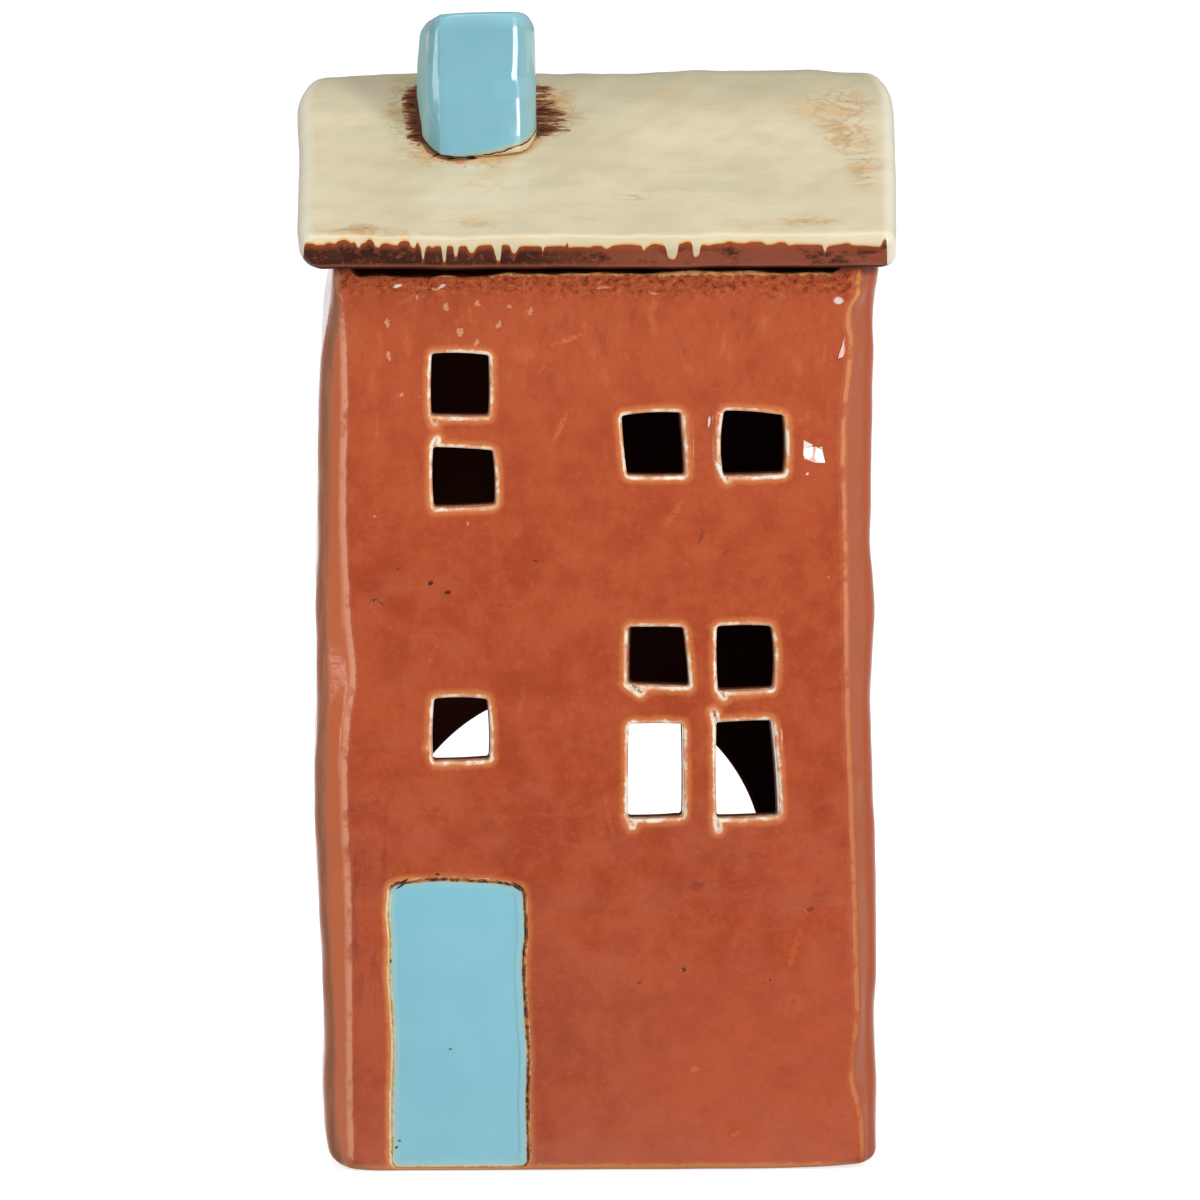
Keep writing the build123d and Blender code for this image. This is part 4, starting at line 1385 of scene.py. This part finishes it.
def wick_cotton():
    return plain("wick_cotton", (0.25, 3, 0.6, (1, 1, 0.3)), ((206, 198, 182), (236, 231, 220)),
                 0.08, (0.7, 0.85))


def tab_steel():
    return plain("tab_steel", (1.0, 3, 0.6, (8, 1, 1)), ((158, 160, 162), (184, 186, 188)), 0.01,
                 (0.25, 0.4), Metallic=1.0)


# Camera and studio

PICTURE_WIDTH, PIXEL = 1200, 0.16
VIEW_AZIMUTH, VIEW_ELEVATION, VIEW_DISTANCE = -1.8, 7.5, 2.2
VIEW_AIM, VIEW_FACE = (0.001877, 0.0, 0.08735), (0, -0.039, 0.091)
LAMP_DISTANCE, LAMP_AIM = 1.3, (0, 0, 0.09)
# name, azimuth, elevation, width, height, power; azimuth 0 is in front
LAMPS = (
    ("right_box", 34, 6, 0.22, 1.0, 9.2), ("left_box", -54, 10, 0.2, 1.0, 2.6),
    ("overhead", 0, 66, 0.9, 0.6, 4.4),
)
AROUND, IN_FRONT, BEHIND = 0.432, 0.048, 0.36
FLOOR_NEAR, FLOOR_FAR, FLOOR_HALF = -0.34, 3.0, 3.0


def aimed(name, data, azimuth, elevation, distance, aim):
    """Object that looks at a point from a direction; returns it and its way back."""
    a, e = radians(azimuth), radians(elevation)
    back = Vector((sin(a) * cos(e), -cos(a) * cos(e), sin(e)))
    holder = shown(name, data)
    holder.location = Vector(aim) + distance * back
    holder.rotation_euler = (-back).to_track_quat("-Z", "Y").to_euler()
    return holder, back


def build_camera():
    """Camera of the photograph: slightly left of and above the front."""
    camera = bpy.data.cameras.new("camera")
    holder, back = aimed("camera", camera, VIEW_AZIMUTH, VIEW_ELEVATION, VIEW_DISTANCE, VIEW_AIM)
    depth = VIEW_DISTANCE + (Vector(VIEW_FACE) - Vector(VIEW_AIM)).dot(-back)
    camera.sensor_width = 36
    camera.lens = camera.sensor_width * depth / (PICTURE_WIDTH * PIXEL * MM)
    bpy.context.scene.camera = holder


def build_lamps():
    for name, azimuth, elevation, width, height, power in LAMPS:
        lamp = bpy.data.lights.new(name, "AREA")
        lamp.shape = "RECTANGLE"
        lamp.size, lamp.size_y = width, height
        lamp.energy = power
        aimed(name, lamp, azimuth, elevation, LAMP_DISTANCE, LAMP_AIM)


def build_world():
    """White for the camera and behind the object; the room in front is dim."""
    world = bpy.data.worlds.new("studio")
    bpy.context.scene.world = world
    w = Nodes(world)
    path, seen = w.to_viewer()
    way = w.node(
        "ShaderNodeSeparateXYZ", {0: w.node("ShaderNodeTexCoord").outputs["Generated"]}).outputs
    leaning = w.node("ShaderNodeMath", {0: way[0], 1: -0.35, 2: way[1]}, operation="MULTIPLY_ADD")
    mirrored = w.span(leaning.outputs[0], -0.1, 1.0, IN_FRONT, BEHIND)
    room = w.node(
        "ShaderNodeMix", {0: path["Is Glossy Ray"], 2: AROUND, 3: mirrored}, data_type="FLOAT")
    level = w.node("ShaderNodeMix", {0: seen, 2: room.outputs[0], 3: 1.0}, data_type="FLOAT")
    shade = w.node("ShaderNodeBackground", {"Color": (1, 1, 1, 1), "Strength": level.outputs[0]})
    w.node("ShaderNodeOutputWorld", {"Surface": shade.outputs[0]})


def build_floor():
    """Pale tabletop: white to the camera, with the object's shadow."""
    mesh = bpy.data.meshes.new("floor")
    mesh.from_pydata(
        [(-FLOOR_HALF, FLOOR_NEAR, 0), (FLOOR_HALF, FLOOR_NEAR, 0), (FLOOR_HALF, FLOOR_FAR, 0),
         (-FLOOR_HALF, FLOOR_FAR, 0)], [], [(0, 1, 2, 3)])
    floor = shown("floor", mesh)
    floor.location.z = -0.0002
    material = bpy.data.materials.new("floor_white")
    w = Nodes(material)
    path, seen = w.to_viewer()
    place = w.node(
        "ShaderNodeSeparateXYZ", {0: w.node("ShaderNodeTexCoord").outputs["Object"]}).outputs
    behind = w.node(
        "ShaderNodeMapRange", {"Value": place[1], "From Min": -0.12, "From Max": 0.0}).outputs[0]
    bright = w.most(seen, w.mul(path["Is Glossy Ray"], behind))
    matt = w.node("ShaderNodeBsdfDiffuse", {"Color": (0.45, 0.45, 0.45, 1)})
    pale = w.node("ShaderNodeBsdfDiffuse", {"Color": (0.8, 0.8, 0.8, 1)})
    glow = w.node("ShaderNodeEmission", {"Strength": 0.74})
    lit = w.node("ShaderNodeAddShader", {0: pale.outputs[0], 1: glow.outputs[0]})
    choice = w.node("ShaderNodeMixShader", {0: bright, 1: matt.outputs[0], 2: lit.outputs[0]})
    w.node("ShaderNodeOutputMaterial", {"Surface": choice.outputs[0]})
    mesh.materials.append(material)


GLAZES = {
    "terracotta_glaze": terracotta_glaze(), "cream_glaze": cream_glaze(),
    "blue_glaze": door_glaze(), "bisque": bisque(), "cup_foil": cup_foil(),
    "candle_wax": candle_wax(), "wick_cotton": wick_cotton(), "tab_steel": tab_steel(),
}

build_camera()
build_world()
build_floor()
build_lamps()
bpy.context.scene.view_settings.view_transform = "Standard"
build_front_wall()
build_back_wall()
build_side_walls()
build_roof()
build_door()
GLAZES["blue_glaze"] = chimney_glaze()
build_chimney()
build_tealight()

for node, finish in (("base_slab", "bisque"), ("wick_sustainer", "tab_steel")):
    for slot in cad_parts[node].material_slots:
        slot.material = GLAZES[finish]
